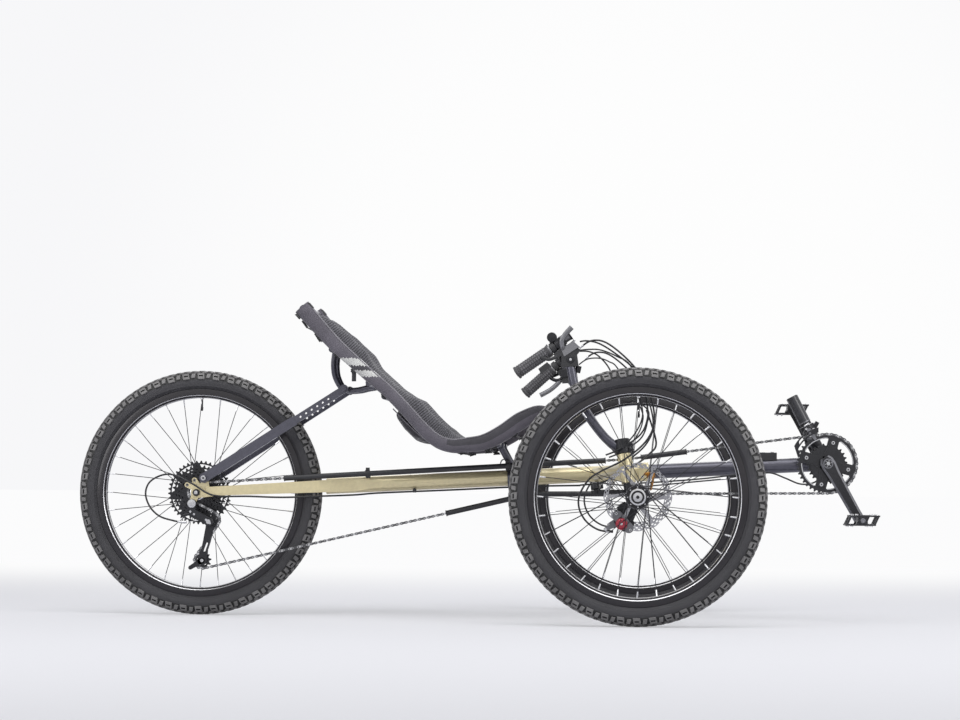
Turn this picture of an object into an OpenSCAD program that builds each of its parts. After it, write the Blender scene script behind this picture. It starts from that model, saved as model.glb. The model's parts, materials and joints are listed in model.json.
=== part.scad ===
// Recumbent tadpole trike: two steered front wheels, one driven rear wheel.
// X runs forward, Y to the rider's left, Z up. Lengths are in millimetres.
// Positions below are measured forward from the rear axle; the last step moves
// the whole trike so that its origin is on the floor at the middle of its box.

/* [Wheels] */
// Radius over the tread of all three tyres
tyre_r = 337; // [325:1:345]
// Width of a tyre
tyre_w = 57; // [45:1:60]
// Radius where the tyre meets the rim
rim_r = 286; // [280:1:288]
// Depth of the rim section
rim_depth = 25; // [15:1:30]
// Width of the rim
rim_w = 34; // [26:1:38]
// Spokes in each wheel
spoke_count = 32; // [20:4:36]
// Diameter of a spoke
spoke_d = 2.2; // [1.8:0.1:2.6]

/* [Layout] */
// Rear axle to front axles
wheelbase = 1209; // [1150:1:1260]
// Distance between the front tyres' middles
track = 800; // [760:1:860]
// Height of the bottom bracket
bb_z = 430; // [400:1:450]
// Distance from the rear axle to the bottom bracket
bb_x = 1724; // [1640:1:1780]

/* [Frame] */
// Outside diameter of the main tube
main_d = 44; // [40:1:48]
// Outside diameter of the boom
boom_d = 40; // [36:1:40]
// Where the boom leaves the main tube
boom_start = 1238; // [1225:1:1260]
// Diameter of the tubes out to the kingpins
cross_d = 32; // [28:1:36]
// Where the cross tubes leave the main tube
cross_x = 1085; // [1060:1:1110]
// Width between the rear dropouts
hub_width = 135; // [135:1:148]
// Thickness of a rear dropout plate
dropout_t = 6; // [5:1:8]

/* [Steering] */
// Height of the middle of the head tubes
head_z = 410; // [400:1:420]
// Length of a head tube
head_len = 78; // [70:1:90]
// Outside diameter of a head tube
head_d = 37; // [34:1:42]
// Diameter of the kingpin
kingpin_d = 26; // [22:1:28]
// Backward lean of the kingpin
caster = 10; // [6:1:14]
// Inward lean of the kingpin
kpi = 11; // [8:0.5:13]
// Distance from the kingpin forward to the axle, at axle height
axle_lead = 18; // [10:1:24]
// Length of the steering arm
arm_len = 90; // [80:1:100]
// Height of the tie rod
tie_z = 362; // [358:1:364]
// Diameter of the tie rod
tie_d = 11; // [9:1:12]
// Diameter of the stub axle
stub_d = 20; // [15:1:20]
// Diameter of the handlebar tube
bar_d = 24; // [22:1:26]
// Distance of the grips from the middle
grip_y = 300; // [285:1:315]
// Diameter of a grip
grip_d = 33; // [30:1:36]

/* [Drive] */
// Length of a crank
crank_len = 175; // [165:1:180]
// Angle of the right crank below the horizon
crank_angle = 60.5; // [0:0.5:90]
// Teeth on the outer chainring
ring_teeth = 40; // [36:1:42]
// Teeth on the inner chainring
inner_teeth = 26; // [24:1:28]
// Distance of the chain from the middle
chain_y = 55; // [54:1:56]
// Length of a pedal
pedal_len = 92; // [84:1:100]
// Outside diameter of the chain tubes
chain_tube_d = 15; // [14:1:16]
// Diameter of the derailleur post
post_d = 32; // [30:1:34]

/* [Seat] */
// Width of the seat between its rails' middles
seat_w = 390; // [360:1:420]
// Width at the top of the back
seat_top_w = 280; // [260:1:320]
// Diameter of a sleeved seat rail
rail_d = 30; // [24:1:34]
// Height of the mat's side bolsters above the middle of the rails
bolster_h = 45; // [34:1:50]

/* [Hidden] */
$fn = 48;

pitch = 12.7;                                  // chain pitch
half_track = track / 2;
fit = 0.3;                                     // running clearance on a radius
chain_h = 4;                                   // half the height of a chain plate
ring_r = pitch * ring_teeth / (2 * PI);        // pitch radius of the outer chainring
main_slope = (bb_z - 359) / (bb_x - 380);      // rise of the main tube and boom per mm
function main_z(x) = bb_z + (x - bb_x) * main_slope;

// Kingpin: a point in the middle of the left head tube, and the way up the pin
head_x = wheelbase - axle_lead - (head_z - tyre_r) * tan(caster);
head_y = half_track - head_z * tan(kpi);
head_p = [head_x, head_y, head_z];
pin_up = let (v = [-tan(caster), -tan(kpi), 1]) v / norm(v);

// Crank ends and the whole box
right_crank_end = [bb_x + crank_len * cos(crank_angle), bb_z - crank_len * sin(crank_angle)];
left_crank_end = [2 * bb_x - right_crank_end[0], 2 * bb_z - right_crank_end[1]];
x_shift = (right_crank_end[0] + pedal_len / 2 - tyre_r) / 2;

// Small helpers -------------------------------------------------------------

// A round bar from a to b
module rod(a, b, d) {
    v = b - a;
    turn = cross([0, 0, 1], v);
    translate(a)
        rotate(a = acos(v[2] / norm(v)), v = norm(turn) > 1e-6 ? turn : [1, 0, 0])
            cylinder(h = norm(v), d = d);
}

// A disc or bar along Y from y1 to y2
module y_cyl(x, z, y1, y2, d, d2 = undef) {
    translate([x, y1, z]) rotate([-90, 0, 0])
        cylinder(h = y2 - y1, d1 = d, d2 = is_undef(d2) ? d : d2);
}

// An outline in the X-Z plane made into a plate from y1 to y2
module plate(y1, y2) {
    translate([0, y2, 0]) rotate([90, 0, 0]) linear_extrude(y2 - y1) children();
}

// Children are drawn for the left side and mirrored for the right
module on_side(side) {
    if (side < 0) mirror([0, 1, 0]) children();
    else children();
}

// Smooth points through a list of points
function smooth(p, per) = [for (i = [0 : len(p) - 2]) for (k = [0 : per - 1])
    let (a = p[max(i - 1, 0)], b = p[i], c = p[i + 1], d = p[min(i + 2, len(p) - 1)], t = k / per)
    0.5 * (2 * b + (c - a) * t + (2 * a - 5 * b + 4 * c - d) * t * t
        + (3 * b - a - 3 * c + d) * t * t * t), p[len(p) - 1]];

function unit(v) = v / norm(v);
function heading(p, i) = unit(p[min(i + 1, len(p) - 1)] - p[max(i - 1, 0)]);

// A tube swept through points: a ring of corners at each point, one closed polyhedron
module swept(p, d, sides = 12, across = [0, 1, 0]) {
    n = len(p);
    points = [for (i = [0 : n - 1])
        let (t = heading(p, i), s = unit(cross(t, across)), u = cross(s, t))
        for (k = [0 : sides - 1]) p[i] + d / 2 * (s * cos(360 * k / sides) + u * sin(360 * k / sides))];
    skin = [for (i = [0 : n - 2]) for (k = [0 : sides - 1])
        let (a = i * sides + k, b = i * sides + (k + 1) % sides)
        each [[a, b, b + sides], [a, b + sides, a + sides]]];
    polyhedron(points, concat(skin, [[for (k = [sides - 1 : -1 : 0]) k]],
        [[for (k = [0 : sides - 1]) (n - 1) * sides + k]]), convexity = 10);
}

// Toothed disc outline
module sprocket_outline(teeth) {
    r = pitch * teeth / (2 * PI);
    polygon([for (i = [0 : teeth - 1]) for (c = [[-0.32, -3.4], [-0.12, 3.2], [0.12, 3.2], [0.32, -3.4]])
        let (a = 360 * (i + c[0]) / teeth) (r + c[1]) * [cos(a), sin(a)]]);
}

// Wheels --------------------------------------------------------------------

module tyre() {
    rotate([90, 0, 0]) rotate_extrude() intersection() {
        translate([tyre_r - tyre_w / 2, 0]) circle(d = tyre_w);
        translate([rim_r, -tyre_w]) square([tyre_w, 2 * tyre_w]);
    }
}

// A rim with its spokes, from hub flanges at y1 and y2
module rim(y1, y2) {
    rotate([90, 0, 0]) rotate_extrude()
        polygon([[rim_r, -rim_w / 2], [rim_r, rim_w / 2], [rim_r - 10, rim_w / 2],
            [rim_r - rim_depth, rim_w / 5], [rim_r - rim_depth, -rim_w / 5], [rim_r - 10, -rim_w / 2]]);
    spokes(y1, y2);
}

// Spokes from two hub flanges, at y1 and y2, to the rim, crossed in pairs
module spokes(y1, y2) {
    for (i = [0 : spoke_count - 1]) {
        rim_a = 360 * i / spoke_count;
        hub_a = rim_a + (floor(i / 2) % 2 == 0 ? 1 : -1) * 66;
        y = (i % 2 == 0 ? y1 : y2) + (floor(i / 2) % 2 == 0 ? 1.8 : -1.8);
        rod([spoke_seat * cos(hub_a), y, spoke_seat * sin(hub_a)],
            [(rim_r - rim_depth + 2) * cos(rim_a), 0, (rim_r - rim_depth + 2) * sin(rim_a)], spoke_d);
    }
}

flange_r = 30;                                 // radius of a hub flange
flange_gap = 28;                               // hub flange from the middle of a front wheel
spoke_seat = flange_r - 4;                     // radius of the spoke holes
disc_in = 42;                                  // brake disc from the middle of the wheel, inwards
disc_r = 90;                                   // radius of the brake disc
disc_t = 2;                                    // thickness of the brake disc
disc_seat = 44;                                // diameter that a brake disc is bolted round
hub_out = 54;                                  // outer end of a front hub
hub_in = disc_in + 4;                          // inner end of a front hub
hub_foot = half_track - hub_in - 5;            // outer face of a knuckle, inside the hub

module front_hub() {
    difference() {
        union() {
            y_cyl(0, 0, -hub_in, hub_out - 8, disc_seat);
            for (y = [-flange_gap, flange_gap]) y_cyl(0, 0, y - 2, y + 2, 2 * flange_r);
            y_cyl(0, 0, hub_out - 8, hub_out, 40, 34);
        }
        y_cyl(0, 0, -hub_in - 1, hub_out - 6, stub_d + 2 * fit);
    }
}

module brake_disc() {
    rotate([90, 0, 0]) rotate_extrude() {
        translate([disc_r - 16, disc_in - disc_t / 2]) square([16, disc_t]);
        translate([disc_seat / 2 + 0.1, disc_in - disc_t / 2]) square([8, disc_t]);
    }
    for (a = [0 : 60 : 300]) plate(-disc_in - disc_t / 2, -disc_in + disc_t / 2) rotate(a)
        polygon([[disc_seat / 2 + 4, -6], [disc_seat / 2 + 4, 6], [disc_r - 12, -2], [disc_r - 12, -9]]);
}

rear_flange = [-14, 36];                       // rear hub flanges, right and left
freehub_d = 35;

module rear_hub() {
    difference() {
        union() {
            y_cyl(0, 0, rear_flange[0] - 3, rear_flange[1] + 3, 34);
            for (y = rear_flange) y_cyl(0, 0, y - 2, y + 2, 2 * flange_r);
            y_cyl(0, 0, -chain_y - 3, rear_flange[0], freehub_d);
            y_cyl(0, 0, -dropout_y + 1, dropout_y - 1, 18);
        }
        y_cyl(0, 0, -dropout_y, dropout_y, axle_d + 2 * fit);
    }
}

// Axle with a nut outside each dropout
module rear_axle() {
    y_cyl(0, 0, -dropout_y - dropout_t - 8, dropout_y + dropout_t + 8, axle_d);
    for (s = [-1, 1]) on_side(s) translate([0, dropout_y + dropout_t, 0]) rotate([-90, 0, 0])
        cylinder(h = 7, d = 19, $fn = 6);
}

cassette_teeth = [13, 15, 17, 19, 21, 24, 28, 32, 36, 42];
sprocket_gap = 3.9;
sprocket_t = 1.6;
module cassette() {
    difference() {
        union() {
            for (i = [0 : len(cassette_teeth) - 1])
                plate(-chain_y + i * sprocket_gap - sprocket_t / 2,
                      -chain_y + i * sprocket_gap + sprocket_t / 2)
                    sprocket_outline(cassette_teeth[i]);
            y_cyl(0, 0, -chain_y - 2, -chain_y + (len(cassette_teeth) - 1) * sprocket_gap, freehub_d + 8);
        }
        y_cyl(0, 0, -chain_y - 4, 0, freehub_d + 2 * fit);
    }
}

// Frame ---------------------------------------------------------------------

axle_d = 10;
cable_d = 5;
stay_bolt = [22, tyre_r + 40];                 // lower bolt of a seat stay
eyelets = [[-6, 34], [-26, 21]];               // carrier eyelets, from the rear axle
eyelet_d = 5;
hanger = [-11, -30];                           // derailleur hanger, from the rear axle
cross_root = [cross_x, 0, main_z(cross_x)];
dropout_y = hub_width / 2;
tyre_clear = 12;                               // frame to the rear tyre

module main_tube() {
    color([0.72, 0.68, 0.42]) difference() {
        union() {
            rod([330, 0, main_z(330)], [boom_start, 0, main_z(boom_start)], main_d);
            rod([boom_start - 34, 0, main_z(boom_start - 34)], [boom_start, 0, main_z(boom_start)],
                main_d + 8);
        }
        rod([boom_start - 60, 0, main_z(boom_start - 60)], [boom_start + 20, 0, main_z(boom_start + 20)],
            boom_d);
        translate([-tyre_clear, -50, 0]) cube([tyre_r + 2 * tyre_clear, 100, 800]);
    }
}

// Tapered box tube from the main tube back to the dropout
module chainstay() {
    difference() {
        intersection() {
            linear_extrude(500)
                polygon([[540, 12], [540, 21], [430, 25], [330, 54], [28, dropout_y + 12],
                    [28, dropout_y - 1], [330, 34], [372, 12]]);
            plate(-5, 120)
                polygon([[540, main_z(540) - 5], [540, main_z(540) + 5], [430, main_z(430) + 18],
                    [20, tyre_r + 15], [20, tyre_r - 9], [430, main_z(430) - 18]]);
        }
        rod([300, 0, main_z(300)], [600, 0, main_z(600)], main_d);
    }
}

// Round-ended strap in the plane, from a to b
module strap(a, b, ra, rb) {
    hull() {
        translate(a) circle(r = ra, $fn = 32);
        translate(b) circle(r = rb, $fn = 32);
    }
}

module dropout(side) {
    difference() {
        plate(dropout_y, dropout_y + dropout_t) translate([0, tyre_r]) offset(r = -4) offset(r = 4) {
            strap([0, 0], [44, 3], 15, 13);
            for (e = eyelets) strap([8, 8], e, 9, 7);
            strap([26, 8], stay_bolt - [0, tyre_r], 10, 9);
            if (side < 0) strap([-4, -6], hanger, 10, 9);
        }
        y_cyl(0, tyre_r, dropout_y - 2, dropout_y + dropout_t + 2, axle_d);
        for (e = eyelets)
            y_cyl(e[0], tyre_r + e[1], dropout_y - 2, dropout_y + dropout_t + 2, eyelet_d);
        if (side < 0)
            y_cyl(hanger[0], tyre_r + hanger[1], dropout_y - 2, dropout_y + dropout_t + 2, axle_d);
        y_cyl(stay_bolt[0], stay_bolt[1], dropout_y - 2, dropout_y + dropout_t + 2, 6);
    }
}

module head_tube() {
    translate(head_p) rotate(a = acos(pin_up[2]), v = cross([0, 0, 1], pin_up))
        cylinder(h = head_len, d = head_d, center = true);
}

module head_bore() {
    translate(head_p) rotate(a = acos(pin_up[2]), v = cross([0, 0, 1], pin_up))
        cylinder(h = head_len + 10, d = kingpin_d + 2 * fit, center = true);
}

module rear_stay(side) {
    color([0.72, 0.68, 0.42]) on_side(side) {
        chainstay();
        dropout(side);
    }
}

// Tube from the main tube out to a head tube
module cross_tube(side) {
    color([0.72, 0.68, 0.42]) on_side(side) difference() {
        union() {
            rod(cross_root, head_p - [0, 2, 0], cross_d);
            head_tube();
        }
        head_bore();
        rod([cross_x - 80, 0, main_z(cross_x - 80)], [cross_x + 80, 0, main_z(cross_x + 80)], main_d);
    }
}

shell_w = 68;                                  // width of the bottom bracket shell
shell_d = 42;
spindle_d = 24;
module boom() {
    color([0.2, 0.2, 0.22]) difference() {
        union() {
            rod([boom_start - 59, 0, main_z(boom_start - 59)], [bb_x - 4, 0, main_z(bb_x - 4)], boom_d);
            y_cyl(bb_x, bb_z, -shell_w / 2, shell_w / 2, shell_d);
        }
        y_cyl(bb_x, bb_z, -shell_w, shell_w, spindle_d + 2 * fit);
    }
}

post_lean = 27.3;                              // backward lean of the derailleur post
post_len = 205;                                // bottom bracket to the top of the post
post_up = [-sin(post_lean), 0, cos(post_lean)];
post_top = [bb_x, 0, bb_z] + post_len * post_up;
module derailleur_post() {
    color([0.1, 0.1, 0.11]) difference() {
        rod([bb_x, 0, bb_z] + (shell_d / 2 - 2) * post_up, post_top, post_d);
        y_cyl(bb_x, bb_z, -shell_w, shell_w, shell_d);
        rod([bb_x - 80, 0, main_z(bb_x - 80)], [bb_x, 0, main_z(bb_x)], boom_d);
    }
}

// Front derailleur: a band round the post, a body and a cage over the chain
module front_derailleur() {
    band = [bb_x, 0, bb_z] + 108 * post_up;
    gap = 4.5;
    color([0.12, 0.12, 0.13]) {
        difference() {
            union() {
                rod(band - 9 * post_up, band + 9 * post_up, post_d + 9);
                translate([band[0] - 12, -chain_y + gap, band[2] - 22]) cube([34, chain_y - 16, 34]);
            }
            rod(band - 40 * post_up, band + 40 * post_up, post_d);
        }
        for (y = [-chain_y - gap - 2, -chain_y + gap]) plate(y, y + 2) translate([bb_x, bb_z])
            polygon([for (a = [104 : 6 : 152]) (ring_r + 22) * [cos(a), sin(a)],
                for (a = [170 : -6 : 104]) (ring_r + (a > 155 ? -2 : 7)) * [cos(a), sin(a)]]);
        plate(-chain_y - gap - 1, -chain_y + gap + 1) translate([bb_x, bb_z])
            polygon([for (a = [104, 117]) (ring_r + 22) * [cos(a), sin(a)],
                for (a = [117, 104]) (ring_r + 18) * [cos(a), sin(a)]]);
    }
}

// Accessory block on top of the boom
module boom_bracket() {
    x = 1565;
    color([0.08, 0.08, 0.08]) difference() {
        translate([x - 24, -15, main_z(x) + boom_d / 2 - 4]) cube([48, 30, 22]);
        rod([x - 40, 0, main_z(x - 40)], [x + 40, 0, main_z(x + 40)], boom_d);
    }
}

// Seat ----------------------------------------------------------------------

// Rail line seen from the side, top of the back to the front edge: x, z, share of the width step
rail_line = [[300, 836, 0], [341, 790, 0.1], [389, 740, 0.3], [442, 693, 0.55], [492, 650, 0.75],
    [536, 613, 0.9], [582, 567, 1], [628, 517, 1], [669, 482, 1], [709, 469, 1], [752, 471, 1],
    [798, 478, 1], [846, 503, 1], [893, 536, 0.95], [936, 559, 0.9], [962, 560, 0.85]];
function rail_y(s) = (seat_top_w + (seat_w - seat_top_w) * s) / 2;
rail = smooth([for (p = rail_line) [p[0], rail_y(p[2]), p[1]]], 2);
cross_bars = [4, 8, 10, 23];                   // places along the rail joined by a bar
bar_drop = 16;                                 // cross bars below the rails, clear of the mat
cross_bar_d = 18;

// Way up out of the seat at a place along the rail
function seat_up(i) = let (t = heading(rail, i)) unit([-t[2], 0, t[0]]) * (t[0] > 0 ? 1 : -1);
function bar_at(i) = rail[i] - bar_drop * seat_up(i);

module seat_frame() {
    color([0.2, 0.2, 0.22]) {
        for (side = [-1, 1]) on_side(side) swept(rail, rail_d, 12);
        for (i = cross_bars) let (b = bar_at(i)) y_cyl(b[0], b[2], -b[1] + 4, b[1] - 4, cross_bar_d);
        for (i = [0, len(rail) - 1]) y_cyl(rail[i][0], rail[i][2], -rail[i][1], rail[i][1], rail_d - 2);
    }
}

// Mat hung between the rails: a hollow middle between two side bolsters, which rise at the
// shoulders and at the small of the back. Each row: place along rail_line, share of bolster_h.
mat_gap = 3;
mat_low = -3;                                  // underside of the mat, from the rail's middle
mat_rows = [[0, 0.53], [1, 0.8], [2, 0.98], [3, 0.93], [3.6, 0.62], [5, 0.53], [5.6, 0.71],
    [6, 0.96], [8.2, 1], [9, 0.76], [9.7, 0.49], [11, 0.56], [14, 0.33]];
module seat_mat() {
    first = 1;
    last = len(rail) - 3;
    rows = last - first;
    n = 8;                                     // corners in a row: width share, height share
    corners = [[-1, 0], [1, 0], [1, 0.6], [0.8, 1], [0.4, 0.65], [-0.4, 0.65], [-0.8, 1], [-1, 0.6]];
    ring = [for (i = [first : last])
        let (p = rail[i], w = p[1] - rail_d / 2 - mat_gap, top = bolster_h * lookup(i / 2, mat_rows))
        for (c = corners)
            [p[0], c[0] * w, p[2]] + seat_up(i) * (mat_low + c[1] * (top - mat_low))];
    skin = [for (i = [0 : rows - 1]) for (k = [0 : n - 1])
        let (a = i * n + k, b = i * n + (k + 1) % n)
        each [[a, b + n, b], [a, a + n, b + n]]];
    color([0.13, 0.13, 0.14]) polyhedron(ring, concat(skin, [[for (k = [0 : n - 1]) k]],
        [[for (k = [n - 1 : -1 : 0]) rows * n + k]]), convexity = 10);
}

// Soft pocket hung behind the small of the back
module seat_pocket() {
    inner = [[548, 574], [580, 541], [612, 508], [648, 481]];
    outer = [[643, 470], [608, 482], [571, 518], [541, 560]];
    color([0.14, 0.14, 0.15]) plate(-140, 140) polygon(concat(inner, outer));
}

stay_top = [402, 624];
stay_bar_d = 14;
stay_foot_y = dropout_y + dropout_t + 1;
stay_top_y = 62;
module seat_stay(side) {
    a = [stay_bolt[0], stay_foot_y + 7, stay_bolt[1]];
    b = [stay_top[0], stay_top_y, stay_top[1]];
    along = unit(b - a);
    color([0.15, 0.15, 0.17]) on_side(side) difference() {
        union() {
            translate(a) multmatrix(basis(along)) {
                translate([-13, -7, -6]) cube([26, 13, 300]);
                translate([-10, -5, 250]) cube([20, 9, norm(b - a) - 244]);
            }
            y_cyl(a[0], a[2], stay_foot_y, stay_foot_y + 13, 26);
        }
        y_cyl(a[0], a[2], stay_foot_y - 10, stay_foot_y + 30, 6);
        y_cyl(b[0], b[2], b[1] - 30, b[1] + 30, stay_bar_d + 2 * fit);
        for (i = [0 : 5]) let (q = a + along * (312 + 18 * i))
            y_cyl(q[0], q[2], q[1] - 20, q[1] + 20, 6);
    }
}
// Frame with Z along t and Y nearest to the trike's Y
function basis(t) = let (s = unit(cross([0, 1, 0], t)), u = cross(t, s))
    [[s[0], u[0], t[0], 0], [s[1], u[1], t[1], 0], [s[2], u[2], t[2], 0], [0, 0, 0, 1]];

// Two bent tubes on the back of the seat, joined by the bar that the stays bolt to
module seat_rear_bracket() {
    top = bar_at(cross_bars[0]);
    low = bar_at(cross_bars[1]);
    color([0.15, 0.15, 0.17]) {
        for (side = [-1, 1]) on_side(side)
            swept(smooth([[top[0] - 6, 40, top[2] - 6], [369, 40, 690], [375, 38, 655], [396, 36, 624],
                [432, 36, 622], [460, 38, 628], [low[0], 40, low[2] - 6]], 4), 15, 10);
        y_cyl(stay_top[0], stay_top[1], -84, 84, stay_bar_d);
        for (s = [-1, 1]) on_side(s) y_cyl(stay_top[0], stay_top[1], stay_top_y + 7, stay_top_y + 12, 24);
    }
}

module seat_front_bracket() {
    top = bar_at(cross_bars[3]);
    color([0.3, 0.3, 0.32]) {
        for (side = [-1, 1]) on_side(side) {
            rod([top[0], 62, top[2]], [872, 24, main_z(872) + 13], 18);
            y_cyl(top[0], top[2], 50, 76, cross_bar_d + 8);
        }
        difference() {
            rod([850, 0, main_z(850)], [894, 0, main_z(894)], main_d + 12);
            rod([840, 0, main_z(840)], [904, 0, main_z(904)], main_d);
        }
    }
}

// Chain ---------------------------------------------------------------------

// Circles that the chain follows, in the X-Z plane: x, z, radius, turn (1 with the loop, -1 against)
pulley_teeth = 11;
pulley_r = pitch * pulley_teeth / (2 * PI);
idler_teeth = 15;
idler_r = pitch * idler_teeth / (2 * PI);
small_r = pitch * cassette_teeth[0] / (2 * PI);
idler = [1170, 437 + idler_r];
guide = [40, 262];
tension = [15, 151];
bend_r = 320;
bend = [956, 341 - bend_r];
chain_circles = [[bb_x, bb_z, ring_r, 1], [idler[0], idler[1], idler_r, -1],
    [0, tyre_r, small_r, 1], [guide[0], guide[1], pulley_r, -1], [tension[0], tension[1], pulley_r, 1],
    [bend[0], bend[1], bend_r, -1]];

// Ends of the straight run from circle a to circle b, for a loop that turns anticlockwise
function run(a, b) =
    let (v = [b[0] - a[0], b[1] - a[1]], d = norm(v), dir = atan2(v[1], v[0]),
        k = (a[3] * a[2] - b[3] * b[2]) / d, n = dir - acos(k))
    [[a[0], a[1]] + a[3] * a[2] * [cos(n), sin(n)], [b[0], b[1]] + b[3] * b[2] * [cos(n), sin(n)]];
function angle_of(c, p) = atan2(p[1] - c[1], p[0] - c[0]);
function arc(c, from, to, grow, steps) =
    let (turn = c[3] > 0 ? (to - from + 720) % 360 : -((from - to + 720) % 360))
    [for (i = [0 : steps]) let (a = from + turn * i / steps)
        [c[0], c[1]] + (c[2] + c[3] * grow) * [cos(a), sin(a)]];
chain_n = len(chain_circles);
chain_runs = [for (i = [0 : chain_n - 1]) run(chain_circles[i], chain_circles[(i + 1) % chain_n])];
// The loop's outline, grown outwards by g
function chain_loop(g) = [for (i = [0 : chain_n - 1])
    let (c = chain_circles[i], in = chain_runs[(i + chain_n - 1) % chain_n][1], out = chain_runs[i][0])
    each arc(c, angle_of(c, in), angle_of(c, out), g, c[2] > 60 && c[3] > 0 ? 36 : 10)];

plate_in = 1.2;
plate_out = 2.6;
clear_of_teeth = 40;                           // sprocket tangent to the first solid link
module chain() {
    color([0.35, 0.34, 0.33]) {
        for (s = [-1, 1])
            plate(-chain_y + (s > 0 ? plate_in : -plate_out), -chain_y + (s > 0 ? plate_out : -plate_in))
                difference() {
                    polygon(chain_loop(chain_h));
                    polygon(chain_loop(-chain_h));
                }
        for (i = [0, 1, 4, 5]) let (a = chain_runs[i][0], b = chain_runs[i][1], t = unit(b - a), n = [-t[1], t[0]])
            plate(-chain_y - plate_in - 0.2, -chain_y + plate_in + 0.2)
                polygon([a + clear_of_teeth * t - 3 * n, b - clear_of_teeth * t - 3 * n,
                    b - clear_of_teeth * t + 3 * n, a + clear_of_teeth * t + 3 * n]);
    }
}

// A straight tube round one run of the chain, from x1 to x2
module run_tube(i, x1, x2) {
    a = chain_runs[i][0];
    b = chain_runs[i][1];
    function at(x) = [x, -chain_y, a[1] + (b[1] - a[1]) * (x - a[0]) / (b[0] - a[0])];
    difference() {
        union() {
            rod(at(x1), at(x2), chain_tube_d);
            for (e = [[x1, x1 + 5], [x2 - 5, x2]]) rod(at(e[0]), at(e[1]), chain_tube_d + 3);
        }
        rod(at(x1 - 5), at(x2 + 5), chain_tube_d - 3);
    }
}

module upper_chain_tube() { color([0.1, 0.1, 0.11]) run_tube(1, 238, 1120); }
module front_chain_tube() { color([0.1, 0.1, 0.11]) run_tube(0, 1216, 1341); }
// Bent tube round the returning chain, where it dips under the front axles
tube_back = 204;                               // straight end behind the bend
tube_ahead = 166;                              // straight end in front of it
module lower_chain_tube() {
    c = chain_circles[5];
    in = chain_runs[4][1];
    out = chain_runs[5][0];
    back = unit(chain_runs[4][0] - in);
    ahead = unit(chain_runs[5][1] - out);
    curve = arc(c, angle_of(c, in), angle_of(c, out), 0, 8);
    function line(extra) = [for (q = concat([in + back * (tube_back + extra)], curve,
        [out + ahead * (tube_ahead + extra)])) [q[0], -chain_y, q[1]]];
    path = line(0);
    last = len(path) - 1;
    color([0.1, 0.1, 0.11]) difference() {
        union() {
            swept(path, chain_tube_d, 12);
            rod(path[0], path[0] + 6 * unit(path[1] - path[0]), chain_tube_d + 3);
            rod(path[last], path[last] + 6 * unit(path[last - 1] - path[last]), chain_tube_d + 3);
        }
        swept(line(20), chain_tube_d - 3, 12);
    }
}

// Toothed wheel that holds the driving side of the chain down, on a tab from the main tube
module chain_idler() {
    tab = -main_d / 2 - 6;
    color([0.1, 0.1, 0.11]) {
        plate(-chain_y - 1, -chain_y + 1) translate(idler) difference() {
            sprocket_outline(idler_teeth);
            circle(d = 13);
        }
        y_cyl(idler[0], idler[1], -chain_y - 6, tab + 1, 14);
        difference() {
            plate(tab, tab + 10)
                polygon([idler + [-12, 10], idler + [12, 10], [idler[0] + 18, main_z(idler[0]) + 6],
                    [idler[0] - 18, main_z(idler[0]) + 6]]);
            rod([idler[0] - 60, 0, main_z(idler[0] - 60)], [idler[0] + 60, 0, main_z(idler[0] + 60)], main_d);
        }
    }
}

// Rear derailleur -----------------------------------------------------------

module pulley(c) {
    plate(-chain_y - 1, -chain_y + 1) translate(c) difference() {
        sprocket_outline(pulley_teeth);
        circle(d = 8);
    }
    y_cyl(c[0], c[1], -chain_y - 5.5, -chain_y + 5.5, 8);
}

module derailleur_cage() {
    for (y = [-chain_y - 7, -chain_y + 4.5]) plate(y, y + 2.5) strap(guide, tension, 12, 14);
    plate(-chain_y - 7, -chain_y - 4.5) strap(tension, tension + [-32, -20], 9, 6);
    pulley(guide);
    pulley(tension);
}

// Body of the derailleur, from the hanger down to the cage's pivot
module rear_derailleur() {
    top = [hanger[0], tyre_r + hanger[1]];
    low = top + [2, -26];
    face = -dropout_y - dropout_t;
    pivot = guide - [4, 4];
    color([0.12, 0.12, 0.13]) {
        y_cyl(top[0], top[1], face - 13, face - 0.2, 24);
        y_cyl(top[0], top[1], face - 1, face + dropout_t - 0.5, axle_d - 0.2);
        plate(face - 12, face - 1) strap(top, low, 10, 9);
        plate(face - 18, face - 2) strap(low, pivot, 11, 10);
        y_cyl(pivot[0], pivot[1], face - 17, -chain_y - 6, 24);
        derailleur_cage();
    }
}

// Shift cable: along under the main tube and stay, then a loop into the derailleur
cable_line = [[1050, -16, 365], [900, -20, 361], [700, -20, 350], [500, -20, 340], [430, -26, 334],
    [340, -60, 330], [240, -80, 326], [150, -90, 328], [51, -94, 330], [-4, -95, 359], [-53, -95, 383],
    [-88, -95, 385], [-124, -95, 366], [-136, -95, 334], [-124, -95, 298], [-97, -94, 272],
    [-60, -90, 260], [-36, -86, 256], [-20, -86, 256]];
module shift_cable() {
    color([0.05, 0.05, 0.05]) swept(smooth(cable_line, 3), cable_d, 8);
}

// Crankset ------------------------------------------------------------------

ring_t = 2;
module chainrings() {
    color([0.07, 0.07, 0.07]) {
        difference() {
            union() {
                plate(-chain_y - ring_t / 2, -chain_y + ring_t / 2) translate([bb_x, bb_z])
                    difference() {
                        sprocket_outline(ring_teeth);
                        circle(r = ring_r - 17, $fn = 96);
                    }
                plate(-chain_y + 7, -chain_y + 7 + ring_t) translate([bb_x, bb_z])
                    difference() {
                        sprocket_outline(inner_teeth);
                        circle(r = pitch * inner_teeth / (2 * PI) - 12, $fn = 96);
                    }
                for (a = [0 : 90 : 270]) plate(-chain_y + 0.5, -chain_y + 7.5) translate([bb_x, bb_z])
                    rotate(a - crank_angle + 45) polygon([[14, -16], [14, 16], [ring_r - 12, 8], [ring_r - 12, -8]]);
            }
            y_cyl(bb_x, bb_z, -100, 0, spindle_d + 10);
        }
    }
}

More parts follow.
